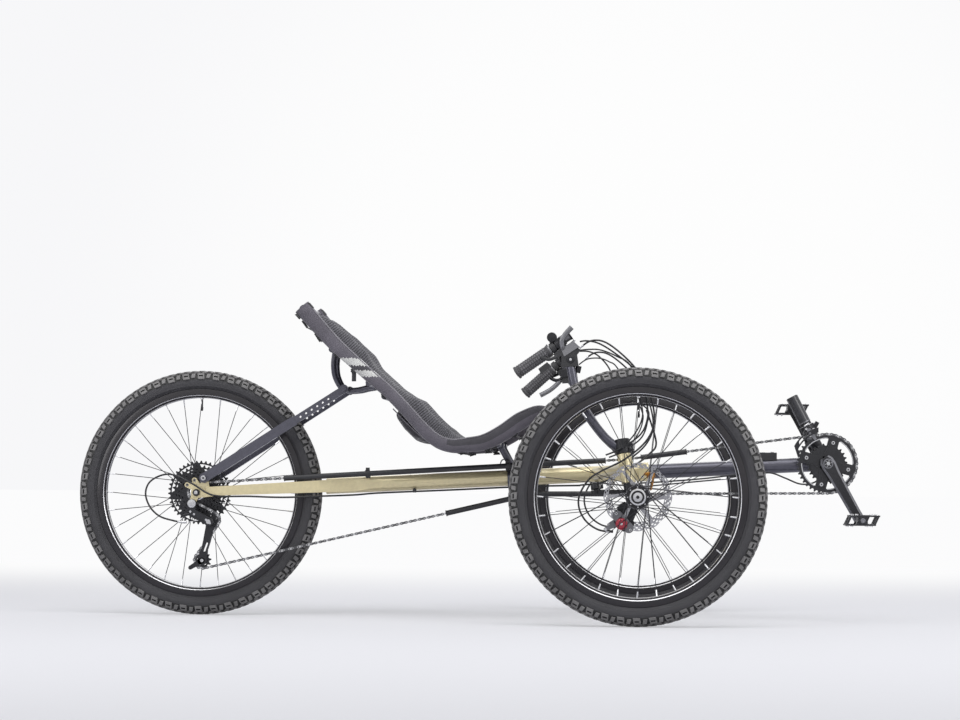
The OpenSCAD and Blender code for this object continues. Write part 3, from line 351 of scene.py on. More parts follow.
class Shape:
    """A mesh that grows part by part. Places are in millimetres on the axes of at()."""

    def __init__(self, *finishes):
        self.mesh = bmesh.new()
        self.finishes = list(finishes)
        self.frame = Matrix.Identity(4)

    def add(self, points, faces, finish=0):
        """Raw points and faces, set down through the current frame."""
        made = [self.mesh.verts.new(self.frame @ Vector(p)) for p in points]
        for corner_list in faces:
            face = self.mesh.faces.new([made[i] for i in corner_list])
            face.material_index = finish
            face.smooth = True

    def turn(self, profile, centre=(0, 0, 0), finish=0, steps=96, closed=False):
        """A profile of (radius, y) turned round the Y axis through centre. closed joins its end
        to its start; finish may be a list with one finish for each stretch of the profile."""
        cx, cy, cz = centre
        n = len(profile)
        points = []
        for i in range(steps):
            a = 2 * math.pi * i / steps
            points += [(cx + r * math.cos(a), cy + y, cz + r * math.sin(a)) for r, y in profile]
        spans = n if closed else n - 1
        for k in range(spans):
            which = finish[k] if isinstance(finish, (list, tuple)) else finish
            faces = [(i * n + k, i * n + (k + 1) % n, ((i + 1) % steps) * n + (k + 1) % n,
                      ((i + 1) % steps) * n + k) for i in range(steps)]
            if k == 0:
                made = [self.mesh.verts.new(self.frame @ Vector(p)) for p in points]
            for corner_list in faces:
                face = self.mesh.faces.new([made[j] for j in corner_list])
                face.material_index = which
                face.smooth = True
        if not closed:
            for k in (0, n - 1):
                if profile[k][0] > 0.01:
                    which = finish[min(k, n - 2)] if isinstance(finish, (list, tuple)) else finish
                    face = self.mesh.faces.new([made[i * n + k] for i in range(steps)])
                    face.material_index = which

    def tube(self, line, d, finish=0, sides=12, d_end=None, flat=1.0):
        """A round bar along points, capped at both ends; flat squashes its section."""
        p = [Vector(q) for q in line]
        n = len(p)
        points = []
        side = None
        for i in range(n):
            t = (p[min(i + 1, n - 1)] - p[max(i - 1, 0)]).normalized()
            if side is None:
                side = t.cross(Vector((0, 1, 0)))
                if side.length < 0.1:
                    side = t.cross(Vector((0, 0, 1)))
            side = (side - t * side.dot(t)).normalized()
            up = side.cross(t)
            r = (d + ((d_end or d) - d) * i / (n - 1)) / 2
            for k in range(sides):
                a = 2 * math.pi * k / sides
                points.append(p[i] + side * (r * flat * math.cos(a)) + up * (r * math.sin(a)))
        faces = skin_faces(n, sides)
        faces.append(tuple(range(sides - 1, -1, -1)))
        faces.append(tuple((n - 1) * sides + k for k in range(sides)))
        self.add(points, faces, finish)

    def rod(self, a, b, d, finish=0, sides=24, d_end=None):
        """A straight bar from a to b, which may taper."""
        self.tube([a, b], d, finish, sides, d_end)

    def plate(self, outline, y1, y2, finish=0, holes=(), edge=None):
        """An outline in the side view, as (x, z) points, cut from plate between y1 and y2."""
        loops = [list(outline)] + [list(h) for h in holes]
        flat = [p for loop in loops for p in loop]
        triangles = tessellate_polygon([[Vector((x, z, 0)) for x, z in loop] for loop in loops])
        n = len(flat)
        points = [(x, y1, z) for x, z in flat] + [(x, y2, z) for x, z in flat]
        faces = list(triangles) + [tuple(i + n for i in reversed(t)) for t in triangles]
        self.add(points, faces, finish)
        made = list(self.mesh.verts)[-2 * n:]
        start = 0
        for loop in loops:
            m = len(loop)
            for i in range(m):
                a, b = start + i, start + (i + 1) % m
                face = self.mesh.faces.new([made[a], made[b], made[b + n], made[a + n]])
                face.material_index = finish if edge is None else edge
            start += m

    def block(self, centre, size, finish=0, tilt=0.0, taper=1.0):
        """A box of a given size, tilted in the side view by degrees; taper narrows its top."""
        sx, sy, sz = (v / 2 for v in size)
        corners = [(-sx, -sy, -sz), (sx, -sy, -sz), (sx, sy, -sz), (-sx, sy, -sz),
                   (-sx * taper, -sy * taper, sz), (sx * taper, -sy * taper, sz),
                   (sx * taper, sy * taper, sz), (-sx * taper, sy * taper, sz)]
        turned = Matrix.Rotation(-math.radians(tilt), 3, "Y")
        points = [Vector(centre) + turned @ Vector(c) for c in corners]
        self.add(points, BOX_FACES, finish)

    def hand_over(self, name, body, slot, origin=(0, 0, 0), bevel=0.4, sharp=35, replaces=()):
        """Closes the mesh into an object at origin that rides on a body."""
        bmesh.ops.recalc_face_normals(self.mesh, faces=self.mesh.faces)
        base = Vector(origin)
        data = bpy.data.meshes.new(name)
        bmesh.ops.translate(self.mesh, vec=-base, verts=self.mesh.verts)
        bmesh.ops.scale(self.mesh, vec=(MM, MM, MM), verts=self.mesh.verts)
        self.mesh.to_mesh(data)
        self.mesh.free()
        for finish_used in self.finishes:
            data.materials.append(finish_used)
        data.set_sharp_from_angle(angle=math.radians(sharp))
        obj = bpy.data.objects.new(name, data)
        obj.location = at(*base)
        bpy.context.scene.collection.objects.link(obj)
        if bevel:
            rounded = obj.modifiers.new("edges", "BEVEL")
            rounded.width = bevel * MM
            rounded.segments = 2
            rounded.limit_method = "ANGLE"
            rounded.angle_limit = math.radians(sharp)
            rounded.use_clamp_overlap = True
        if body:
            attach(obj, body)
        if replaces:
            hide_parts(*replaces)
        triangle_count = sum(len(f.vertices) - 2 for f in data.polygons)
        print(f"{name}: {triangle_count} triangles before its bevel, rides on {body}")
        return obj


# %% [markdown]
# Knobbly tyres. The rubber's casing is a turned profile, and the tread is blocks: a crown of small
# alternate knobs and, on each shoulder, a broad knob with a pocket in it next to a narrow one.
# Each block is bent round the casing, so it is built from points given by the angle round the
# wheel, the angle round the tyre's own section, and a height above the casing.

# %% Rubber finishes
def rubber(name, colour, ring_bump=0.0):
    """Rubber with bloom and dust; ring_bump adds the fine moulding rings of a sidewall."""
    material = finish(name, colour, rough=0.55, vary=0.25, grain=90, bump=0.25, rough_vary=0.12,
                      bump_scale=500)
    if ring_bump:
        n, link = material.node_tree.nodes, material.node_tree.links
        place = n.new("ShaderNodeTexCoord")
        flat = n.new("ShaderNodeVectorMath")
        flat.operation = "MULTIPLY"
        flat.inputs[1].default_value = (1, 0, 1)
        link.new(place.outputs["Object"], flat.inputs[0])
        reach = n.new("ShaderNodeVectorMath")
        reach.operation = "LENGTH"
        link.new(flat.outputs["Vector"], reach.inputs[0])
        wave = n.new("ShaderNodeMath")
        wave.operation = "SINE"
        scale = n.new("ShaderNodeMath")
        scale.operation = "MULTIPLY"
        scale.inputs[1].default_value = 4200.0
        link.new(reach.outputs["Value"], scale.inputs[0])
        link.new(scale.outputs["Value"], wave.inputs[0])
        rings = n.new("ShaderNodeBump")
        rings.inputs["Strength"].default_value = ring_bump
        rings.inputs["Distance"].default_value = 0.0006
        bsdf = next(q for q in n if q.type == "BSDF_PRINCIPLED")
        first = next(q for q in n if q.type == "BUMP" and q != rings)
        link.new(wave.outputs["Value"], rings.inputs["Height"])
        link.new(first.outputs["Normal"], rings.inputs["Normal"])
        link.new(rings.outputs["Normal"], bsdf.inputs["Normal"])
    return material


# One rubber in three colours: the tread's lighter grey is a painted highlight on the knobs, and the near-black is
# painted shade in the gaps between knobs and in the knobs' pockets.
sidewall = rubber("tyre_sidewall", (0.034, 0.033, 0.037), ring_bump=0.35)
tread = rubber("tyre_tread_painted_highlight", (0.165, 0.160, 0.158))
painted_shade_black = rubber("tyre_painted_shade", (0.012, 0.012, 0.012))
rim_black = finish("rim_black", (0.020, 0.018, 0.021), rough=0.33, metal=0.4, vary=0.15, bump=0.04,
                   coat=0.3)
# Bright metal for thin rings on the rim's edges: painted highlights.
rim_painted_highlight = finish("rim_painted_highlight_edge", (0.66, 0.66, 0.68), rough=0.3, metal=1.0, vary=0.06, bump=0.05)
print("rubber and rim finishes made")

# %% Tyre shape
TYRE_R = 337.0
SECTION_R = 28.5
KNOB_H = 4.2
BEAD_R = 284.0
TREAD_FROM_R = 312.0
PITCHES = 48
section_middle = TYRE_R - SECTION_R


def on_tyre(phi, theta, height):
    """Degrees round the wheel, degrees round the section, height above the casing."""
    a, b = math.radians(phi), math.radians(theta)
    reach = SECTION_R - KNOB_H + height
    radius = section_middle + reach * math.cos(b)
    return Vector((radius * math.cos(a), reach * math.sin(b), radius * math.sin(a)))


def knob(shape, phi, half, theta_1, theta_2, height=KNOB_H, skew=0.0, pocket=False):
    """One block of tread, bent round the casing between two section angles."""
    steps = 3
    inset = 0.12 * half
    rows = []
    for j in range(steps + 1):
        t = theta_1 + (theta_2 - theta_1) * j / steps
        middle = phi + skew * (j / steps - 0.5)
        lean = (0.04 if j == 0 else -0.04 if j == steps else 0) * (theta_2 - theta_1)
        rows.append([on_tyre(middle - half, t, -0.6), on_tyre(middle + half, t, -0.6),
                     on_tyre(middle + half - inset, t + lean, height),
                     on_tyre(middle - half + inset, t + lean, height)])
    points = [p for row in rows for p in row]
    faces = []
    for j in range(steps):
        a, b = 4 * j, 4 * (j + 1)
        faces += [(a + 1, b + 1, b + 2, a + 2), (a + 3, b + 3, b, a)]
        if not (pocket and j == 1):
            faces.append((a + 2, b + 2, b + 3, a + 3))
    faces += [(0, 1, 2, 3), tuple(4 * steps + k for k in (3, 2, 1, 0))]
    shape.add(points, faces, 1)
    if pocket:
        top = [rows[1][2], rows[2][2], rows[2][3], rows[1][3]]
        middle = sum(top, Vector()) / 4
        rim_points = [p.lerp(middle, 0.3) for p in top]
        sunk = middle - Vector((middle.x, 0, middle.z)).normalized() * 1.5
        inwards = Vector((0, middle.y, 0)).normalized()
        floor_points = [p.lerp(middle, 0.36) + (sunk - middle) * 1.2 - inwards * 1.6 for p in top]
        ring = [(k, (k + 1) % 4, 4 + (k + 1) % 4, 4 + k) for k in range(4)]
        shape.add(top + rim_points + floor_points, ring, 1)
        # The pocket's walls and floor take the near-black: painted shade in the recess.
        shape.add(rim_points + floor_points, ring + [(4, 5, 6, 7)], 2)


def tyre_shape():
    """The casing and all its knobs, round a hub at the origin."""
    shape = Shape(sidewall, tread, painted_shade_black)
    bead = [(286.5, 15.5), (290, 19.5), (294, 22.3), (294.6, 23.0)]
    profile = [(r, -y) for r, y in bead]
    for theta in range(-110, 111, 10):
        p = on_tyre(0, theta, 0.9 if abs(theta) in (100, 110) else 0)
        profile.append((p.x, p.y))
    profile += bead[::-1] + [(BEAD_R, 12), (BEAD_R, -12)]
    profile = [(max(r, BEAD_R), y) for r, y in profile]
    # Casing faces between the knobs take the near-black as painted shade.
    shaded_between_knobs = [min(r, profile[(k + 1) % len(profile)][0]) > TREAD_FROM_R
                     for k, (r, y) in enumerate(profile)]
    looks = [2 if painted_shade else 0 for painted_shade in shaded_between_knobs]
    shape.turn(profile, steps=144, finish=looks, closed=True)
    pitch = 360 / PITCHES
    for i in range(PITCHES):
        phi = i * pitch
        for side in (-1, 1):
            shift = 0 if side < 0 else pitch / 2
            knob(shape, phi + shift, pitch * 0.235, side * 40, side * 80, pocket=True, skew=0.5 * side)
            knob(shape, phi + shift + pitch / 2, pitch * 0.13, side * 42, side * 72, skew=-0.4 * side)
            knob(shape, phi + shift + pitch * 0.28, pitch * 0.17, side * 14, side * 33, skew=0.8 * side)
            knob(shape, phi + shift + pitch * 0.78, pitch * 0.15, side * 16, side * 36, skew=-0.8 * side)
        knob(shape, phi, pitch * 0.2, -10, 10)
        knob(shape, phi + pitch / 2, pitch * 0.14, -12, 8)
    return shape


WHEELS = [("rear", "rear_wheel", joint_place("rear_wheel_spin")),
          ("left", "left_wheel", joint_place("left_wheel_spin")),
          ("right", "right_wheel", joint_place("right_wheel_spin"))]
tyre_mesh = None
for name, body, hub in WHEELS:
    hub = Vector((hub.x, hub.y if name != "rear" else 0.0, hub.z))
    if tyre_mesh is None:
        shape = tyre_shape()
        bmesh.ops.translate(shape.mesh, vec=hub, verts=shape.mesh.verts)
        obj = shape.hand_over("rear_knobbly_tyre", body, "tyre", hub, bevel=0, sharp=30,
                              replaces=["rear_tyre"])
        tyre_mesh = obj.data
        continue
    obj = bpy.data.objects.new(name + "_knobbly_tyre", tyre_mesh.copy())
    obj.location = at(*hub)
    bpy.context.scene.collection.objects.link(obj)
    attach(obj, body)
    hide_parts(name + "_tyre")
print("tyres of", len(tyre_mesh.polygons), "faces")

# %% [markdown]
# Rims and spokes. The rim is a black box section with two fine rings of bright metal on its edges, painted
# highlights that stand for the light the edges catch.
# Each of its 32 holes takes a bright nipple, and a thin black spoke runs from there to a hole in a
# hub flange, two by two across each other.

# %% Rims, spokes, nipples and valves
SPOKES = 32
SPOKE_D = 2.0
FLANGE_R = 26.0
CROSSING = 66.0
FLANGES = {"rear": (-14.0, 36.0), "left": (-28.0, 28.0), "right": (-28.0, 28.0)}
rim_profile = [(286, -16.8), (285.6, -17), (270.6, -17), (269.4, -15.6), (267.6, -14.6), (262.8, -9.5),
               (261.2, -7.0), (261.2, 7.0), (262.8, 9.5), (267.6, 14.6), (269.4, 15.6), (270.6, 17),
               (285.6, 17), (286, 16.8), (284, 14), (284, -14)]
# Stretches marked 1 take the bright metal as painted highlights on the rim's edges.
rim_highlight_finish = [0, 0, 0, 1, 0, 1, 0, 1, 0, 1, 0, 0, 0, 0, 0, 0]


def rim_shape(flanges):
    """Rim, valve, nipples and spokes, round a hub at the origin."""
    shape = Shape(rim_black, rim_painted_highlight, bright_steel, black_satin, black_moulded)
    shape.turn(rim_profile, steps=180, closed=True, finish=rim_highlight_finish)
    for i in range(SPOKES):
        rim_angle = 360 * i / SPOKES
        forward = 1 if (i // 2) % 2 == 0 else -1
        hub_angle = rim_angle + forward * CROSSING
        y = flanges[i % 2] + 1.8 * forward
        x, z = polar((0, 0), FLANGE_R, hub_angle)
        head = Vector((x, y, z))
        x, z = polar((0, 0), 262.0, rim_angle)
        foot = Vector((x, 0, z))
        along = (head - foot).normalized()
        shape.rod(head, foot + along * 12, SPOKE_D, 3, sides=6)
        shape.rod(foot + along * 17, foot - along * 1.0, 3.6, 2, sides=8, d_end=4.4)
        shape.rod(head + Vector((0, 2.2, 0)), head - Vector((0, 2.2, 0)), 3.6, 2, sides=8)
    valve_foot = Vector((0, 0, 262))
    shape.rod(valve_foot, valve_foot - Vector((0, 0, 4)), 9, 1, sides=12)
    shape.rod(valve_foot, valve_foot - Vector((0, 0, 30)), 5.6, 4, sides=12)
    shape.rod(valve_foot - Vector((0, 0, 26)), valve_foot - Vector((0, 0, 36)), 7.4, 4, sides=10, d_end=5.6)
    return shape


for name, body, hub in WHEELS:
    hub = Vector((hub.x, hub.y if name != "rear" else 0.0, hub.z))
    shape = rim_shape(FLANGES[name])
    bmesh.ops.translate(shape.mesh, vec=hub, verts=shape.mesh.verts)
    shape.hand_over(name + "_rim_and_spokes", body, "spoke_black", hub, bevel=0, sharp=40,
                    replaces=[name + "_rim"])

# %% [markdown]
# Hubs, axle ends and brake discs. The hub shells keep the skeleton's own turned shape. What shows
# on the real trike is small: bright rings and a black nut round each stub axle, and the skewer
# parts at the back. A brake disc is a thin steel plate, so it is cut as one: a wavy rim pierced by
# rows of slots, joined to a centre by slanting arms.

# %% Hub trim
HUB_FACE = 54.0
for side, body, hub in WHEELS[1:]:
    out = 1 if side == "left" else -1
    shape = Shape(black_satin, bright_steel, painted_shade_black)
    rings = [(0.01, 0.3), (3.4, 0.3), (4.4, 2.2), (12.0, 1.8), (12.8, 0.4), (16.2, 0.4), (17.2, 2.4),
             (20.8, 1.6), (21.6, -1.4), (22.6, -9)]
    # Finish 2 is the near-black of painted shade, in the sunk centre of the axle end and in the sunk groove.
    looks = [2, 2, 1, 2, 2, 0, 1, 1, 0]
    shape.turn([(r, (HUB_FACE + y) * out) for r, y in rings], centre=hub, finish=looks, steps=64)
    for flange in FLANGES[side]:
        for i in range(16):
            x, z = polar((hub.x, hub.z), FLANGE_R, 22.5 * i + 6)
            shape.rod((x, hub.y + flange - 2.3, z), (x, hub.y + flange + 2.3, z), 4.0, 2, sides=8)
    groove = [(22.9, 24), (23.8, 23), (23.8, 15), (21.8, 12)]
    groove += [(r, -y) for r, y in reversed(groove)]
    shape.turn(groove, centre=hub, finish=0, steps=48)
    shape.hand_over(side + "_hub_trim", body, "black_metal", hub, bevel=0)

DROPOUT_OUT = 73.5
shape = Shape(black_satin, bright_steel, gold_paint)
stub = joint_place("rear_wheel_spin")
for out in (-1, 1):
    steps_out = [(0.01, 13), (4.2, 13), (5.2, 12), (5.2, 7.5), (8.8, 7.2), (9.8, 6), (9.8, 0.3)]
    ends = [(r, out * (DROPOUT_OUT + reach)) for r, reach in steps_out]
    shape.turn(ends, centre=(stub.x, 0, stub.z), finish=[1, 1, 1, 0, 0, 0], steps=40)
shape.hand_over("rear_axle_ends", "frame", "steel", (stub.x, 0, stub.z), bevel=0, replaces=["rear_axle"])

# %% Brake discs
DISC_R = 90.0
DISC_IN = 42.0
disc_steel = finish("brake_disc_steel", (0.42, 0.42, 0.44), rough=0.24, metal=1.0, vary=0.12, bump=0.04)


def brake_disc_shape(hub, out):
    """A pierced disc, on the inner side of a hub that faces outwards along out."""
    shape = Shape(disc_steel, black_satin)
    centre = (hub.x, hub.z)
    y = hub.y - out * DISC_IN
    wave = [polar(centre, DISC_R - 1.5 + 1.4 * math.cos(math.radians(12 * a)), a) for a in range(0, 360, 2)]
    holes = []
    for i in range(36):
        for reach, shift in ((85.2, 2.6), (80.6, -1.4)):
            slot = []
            for t in range(0, 360, 45):
                sideways = math.degrees(3.6 * math.sin(math.radians(t)) / reach)
                outwards = 1.9 * math.cos(math.radians(t))
                slot.append(polar(centre, reach + outwards, 10 * i + shift + sideways))
            holes.append(slot)
    for a in range(0, 360, 60):
        big = [polar(centre, 76.8, a + t) for t in range(3, 58, 6)]
        big += [polar(centre, 33.0, a + t) for t in range(40, -5, -6)]
        holes.append(big)
    holes.append(circle(centre, 21.5, 40))
    shape.plate(wave, y - 1, y + 1, 0, holes=holes)
    for i in range(6):
        x, z = polar(centre, 28.5, 60 * i + 48)
        shape.rod((x, y - out * 3.2, z), (x, y + out * 0.5, z), 7.5, 1, sides=12)
    return shape


for side, body, hub in WHEELS[1:]:
    out = 1 if side == "left" else -1
    brake_disc_shape(hub, out).hand_over(side + "_pierced_disc", body, "steel", hub, bevel=0,
                                         replaces=[side + "_brake_disc"])

# %% [markdown]
# The drive. Ten sprockets stand in a stack, each cut from plate with lightening holes, black with
# bright steel on the tooth flanks as painted glints. The chain is made link by link: the
# loop's path is the same belt round five wheels and one bend as on the skeleton, then pins are set
# every half inch along it, and every second pair of pins gets outer plates.

# %% Sprockets
PITCH = 12.7
CHAIN_Y = -55.0
sprocket_black = finish("sprocket_black", (0.035, 0.035, 0.038), rough=0.35, metal=0.6, vary=0.3, bump=0.08)
tooth_glint_steel = finish("tooth_painted_glint_steel", (0.50, 0.50, 0.51), rough=0.3, metal=1.0, vary=0.15, bump=0.06)


def tooth_outline(centre, teeth, turn=0.0, low=-3.4, high=3.2):
    """Outline of a sprocket for half-inch chain."""
    r = PITCH * teeth / (2 * math.pi)
    corners = ((-0.36, low + 0.6), (-0.26, low * 0.35), (-0.11, high), (0.11, high), (0.26, low * 0.35),
               (0.36, low + 0.6))
    return [polar(centre, r + reach, turn + 360 * (i + share) / teeth)
            for i in range(teeth) for share, reach in corners]


CASSETTE_TEETH = (13, 15, 17, 19, 21, 24, 28, 32, 36, 42)
SPROCKET_STEP = 3.9
shape = Shape(sprocket_black, tooth_glint_steel, bright_steel)
hub_middle = (stub.x, stub.z)
for i, teeth in enumerate(CASSETTE_TEETH):
    y = CHAIN_Y + SPROCKET_STEP * i
    r = PITCH * teeth / (2 * math.pi)
    holes = [circle(hub_middle, 17.8, 36)]
    if teeth >= 21:
        arms = 6 if teeth < 32 else 8
        for k in range(arms):
            a = 360 * k / arms + 11 * i
            inner = max(24.0, r - 30)
            outer = r - 7
            window = [polar(hub_middle, outer, a + t) for t in range(6, int(360 / arms) - 5, 6)]
            window += [polar(hub_middle, inner, a + t + 4) for t in range(int(360 / arms) - 12, 5, -6)]
            holes.append(window)
    # The plate's edges, the tooth flanks among them, take the bright steel as painted glints.
    shape.plate(tooth_outline(hub_middle, teeth, 5 * i), y - 0.8, y + 0.8, 0, holes=holes, edge=1)
    if teeth >= 24:
        for k in range(8):
            x, z = polar(hub_middle, max(22.0, r - 33) + 2, 45 * k + 7 * i)
            shape.rod((x, y - 1.5, z), (x, y + 1.5, z), 3.4, 2, sides=8)
lock = [(17.9, -59.2), (17.9, -58.0), (20.8, -57.4), (21.6, -56.2), (21.6, -54.5), (17.9, -54.5)]
shape.turn(lock, centre=(stub.x, 0, stub.z), finish=2, steps=48, closed=True)
spacer = [(17.9, -54), (21.4, -54), (21.4, -20.5), (17.9, -20.5)]
shape.turn(spacer, centre=(stub.x, 0, stub.z), finish=0, steps=48, closed=True)
shape.hand_over("cassette_sprockets", "cassette", "steel", (stub.x, 0, stub.z), bevel=0,
                replaces=["cassette"])

# %% The chain's path
bb = joint_place("crank_spin")
RING_TEETH = 40
PULLEY_TEETH = 11
IDLER_TEETH = 15


def pitch_radius(teeth):
    """Radius at which a chain runs on a sprocket."""
    return PITCH * teeth / (2 * math.pi)


IDLER = (1170.0, 437.0 + pitch_radius(IDLER_TEETH))
GUIDE = (40.0, 262.0)
TENSION = (15.0, 151.0)
BEND_R = 320.0
BEND = (956.0, 341.0 - BEND_R)
belt = [((bb.x, bb.z), pitch_radius(RING_TEETH), 1), (IDLER, pitch_radius(IDLER_TEETH), -1),
        (hub_middle, pitch_radius(CASSETTE_TEETH[0]), 1), (GUIDE, pitch_radius(PULLEY_TEETH), -1),
        (TENSION, pitch_radius(PULLEY_TEETH), 1), (BEND, BEND_R, -1)]


def straight_run(a, b):
    """Ends of the straight run that touches wheel a and then wheel b."""
    (ax, az), ra, sa = a
    (bx, bz), rb, sb = b
    d = math.hypot(bx - ax, bz - az)
    n = math.degrees(math.atan2(bz - az, bx - ax)) - math.degrees(math.acos((sa * ra - sb * rb) / d))
    return polar((ax, az), sa * ra, n), polar((bx, bz), sb * rb, n)


runs = [straight_run(belt[i], belt[(i + 1) % len(belt)]) for i in range(len(belt))]
loop = []
for i, (centre, radius, turn) in enumerate(belt):
    came, leaves = runs[i - 1][1], runs[i][0]
    a = math.atan2(came[1] - centre[1], came[0] - centre[0])
    b = math.atan2(leaves[1] - centre[1], leaves[0] - centre[0])
    sweep = (b - a) % (2 * math.pi) if turn > 0 else -((a - b) % (2 * math.pi))
    steps = max(6, int(abs(sweep) * radius / 3))
    loop += [polar(centre, radius, math.degrees(a + sweep * k / steps)) for k in range(steps + 1)]
reach = [0.0]
for p, q in zip(loop, loop[1:] + loop[:1]):
    reach.append(reach[-1] + math.hypot(q[0] - p[0], q[1] - p[1]))
links = 2 * round(reach[-1] / PITCH / 2)
print(f"chain loop {reach[-1]:.0f} mm, {links} links")


def along_loop(s):
    """The point at a distance s along the loop."""
    s %= reach[-1]
    i = int(np.searchsorted(reach, s, side="right")) - 1
    p, q = loop[i], loop[(i + 1) % len(loop)]
    t = (s - reach[i]) / max(1e-9, reach[i + 1] - reach[i])
    return Vector((p[0] + (q[0] - p[0]) * t, 0, p[1] + (q[1] - p[1]) * t))


# %% Chain links
link_dark = finish("chain_plate_steel", (0.13, 0.13, 0.135), rough=0.35, metal=0.9, vary=0.3, bump=0.1)
pin_steel = finish("chain_pin_steel", (0.60, 0.60, 0.60), rough=0.28, metal=1.0, vary=0.1, bump=0.05)


def link_plate(shape, a, b, y1, y2, finish_used):
    """A figure-of-eight plate between two pins."""
    d = (b - a).normalized()
    n = Vector((-d.z, 0, d.x))
    outline = []
    for k in range(7):
        t = math.radians(-90 + 30 * k)
        outline.append(b + d * (3.9 * math.cos(t)) + n * (3.9 * math.sin(t)))
    outline.append((a + b) / 2 + n * 2.7)
    for k in range(7):
        t = math.radians(90 + 30 * k)
        outline.append(a + d * (3.9 * math.cos(t)) + n * (3.9 * math.sin(t)))
    outline.append((a + b) / 2 - n * 2.7)
    m = len(outline)
    points = [(p.x, y1, p.z) for p in outline] + [(p.x, y2, p.z) for p in outline]
    faces = [tuple(range(m)), tuple(range(2 * m - 1, m - 1, -1))]
    faces += [(i, (i + 1) % m, m + (i + 1) % m, m + i) for i in range(m)]
    shape.add(points, faces, finish_used)


shape = Shape(link_dark, pin_steel)
pins = [along_loop(reach[-1] * i / links) for i in range(links)]
for i, a in enumerate(pins):
    b = pins[(i + 1) % links]
    outer = i % 2 == 0
    for side in (-1, 1):
        near = CHAIN_Y + side * (2.3 if outer else 1.4)
        link_plate(shape, a, b, near, near + side * 0.85, 0 if outer else 1)
    shape.rod(a + Vector((0, CHAIN_Y - 3.3, 0)), a + Vector((0, CHAIN_Y + 3.3, 0)), 3.6, 1, sides=6)
    shape.rod(a + Vector((0, CHAIN_Y - 1.3, 0)), a + Vector((0, CHAIN_Y + 1.3, 0)), 7.4, 1, sides=8)
shape.hand_over("drive_chain", "frame", "chain_steel", (bb.x, CHAIN_Y, bb.z), bevel=0, sharp=40,
                replaces=["chain"])

# %% [markdown]
# Chain tubes and outer cables. Plastic tubes keep the oily chain off the rider; each flares at its
# mouths. They follow the same runs as the chain, so they are laid straight from the belt's own
# points.

# %% Chain tubes
CHAIN_TUBE_D = 14.6
CHAIN_TUBE_BORE = 12.2
tube_plastic = finish("chain_tube_plastic", (0.022, 0.022, 0.025), rough=0.42, vary=0.2, grain=80, bump=0.1)


def hollow_tube(shape, line, d, bore, finish_used):
    """A tube with a real bore: an outer and an inner skin joined at both mouths."""
    sides = 20
    p = [Vector(q) for q in line]
    n = len(p)
    points = []
    for half in (d / 2, bore / 2):
        for i in range(n):
            t = (p[min(i + 1, n - 1)] - p[max(i - 1, 0)]).normalized()
            side = Vector((0, 1, 0))
            up = side.cross(t)
            flare = 1.22 if i in (0, n - 1) and half == d / 2 else 1.0
            for k in range(sides):
                a = 2 * math.pi * k / sides
                points.append(p[i] + (side * math.cos(a) + up * math.sin(a)) * half * flare)
    faces = []
    for skin in (0, 1):
        o = skin * n * sides
        faces += [tuple(o + j for j in corners) for corners in skin_faces(n, sides)]
    for i in (0, n - 1):
        a = i * sides
        b = n * sides + i * sides
        faces += [(a + k, a + (k + 1) % sides, b + (k + 1) % sides, b + k) for k in range(sides)]
    shape.add(points, faces, finish_used)


def run_line(i, x1, x2):
    """Points along straight run i of the chain, between two x positions."""
    a, b = runs[i]
    rise = (b[1] - a[1]) / (b[0] - a[0])
    step = 4.0 if x2 > x1 else -4.0
    stations = [x1, x1 + step, x1 + 2 * step, x2 - 2 * step, x2 - step, x2]
    return [Vector((x, CHAIN_Y, a[1] + rise * (x - a[0]))) for x in stations]


tube_runs = {"upper_chain_tube": run_line(1, 238, 1120), "front_chain_tube": run_line(0, 1216, 1341)}
came, leaves = runs[4][1], runs[5][0]
back = (Vector((runs[4][0][0], 0, runs[4][0][1])) - Vector((came[0], 0, came[1]))).normalized()
ahead = (Vector((runs[5][1][0], 0, runs[5][1][1])) - Vector((leaves[0], 0, leaves[1]))).normalized()
lower = [Vector((came[0], CHAIN_Y, came[1])) + back * d for d in (204, 200, 196, 100)]
bend_from = math.degrees(math.atan2(came[1] - BEND[1], came[0] - BEND[0]))
bend_to = math.degrees(math.atan2(leaves[1] - BEND[1], leaves[0] - BEND[0]))
for k in range(13):
    x, z = polar(BEND, BEND_R, bend_from + (bend_to - bend_from) * k / 12)
    lower.append(Vector((x, CHAIN_Y, z)))
lower += [Vector((leaves[0], CHAIN_Y, leaves[1])) + ahead * d for d in (80, 158, 162, 166)]
tube_runs["lower_chain_tube"] = lower
for node, line in tube_runs.items():
    shape = Shape(tube_plastic, bright_steel)
    hollow_tube(shape, line, CHAIN_TUBE_D, CHAIN_TUBE_BORE, 0)
    middle = line[len(line) // 2]
    shape.hand_over("smooth_" + node, "frame", "black_plastic", middle, bevel=0, sharp=50, replaces=[node])

# %% [markdown]
# Brake cables. A housing is smooth black plastic over coiled wire, so it is drawn as an even tube
# with a bright ferrule where it stops. Each one rides with its own steered side.

# %% Cables
cable_black = finish("cable_housing", (0.014, 0.014, 0.016), rough=0.3, vary=0.15, grain=90, bump=0.04)


def cable_shape(line, d=5.0, per=8, ends=(True, True)):
    """A housing along smooth points, with a bright ferrule at either end."""
    shape = Shape(cable_black, bright_steel)
    path = smooth_line(line, per)
    shape.tube(path, d, 0, sides=14)
    for wanted, i, j in ((ends[0], 0, 2), (ends[1], -1, -3)):
        if wanted:
            a, b = Vector(path[i]), Vector(path[j])
            shape.rod(a, a + (b - a).normalized() * 13, d + 1.2, 1, sides=16)
    return shape


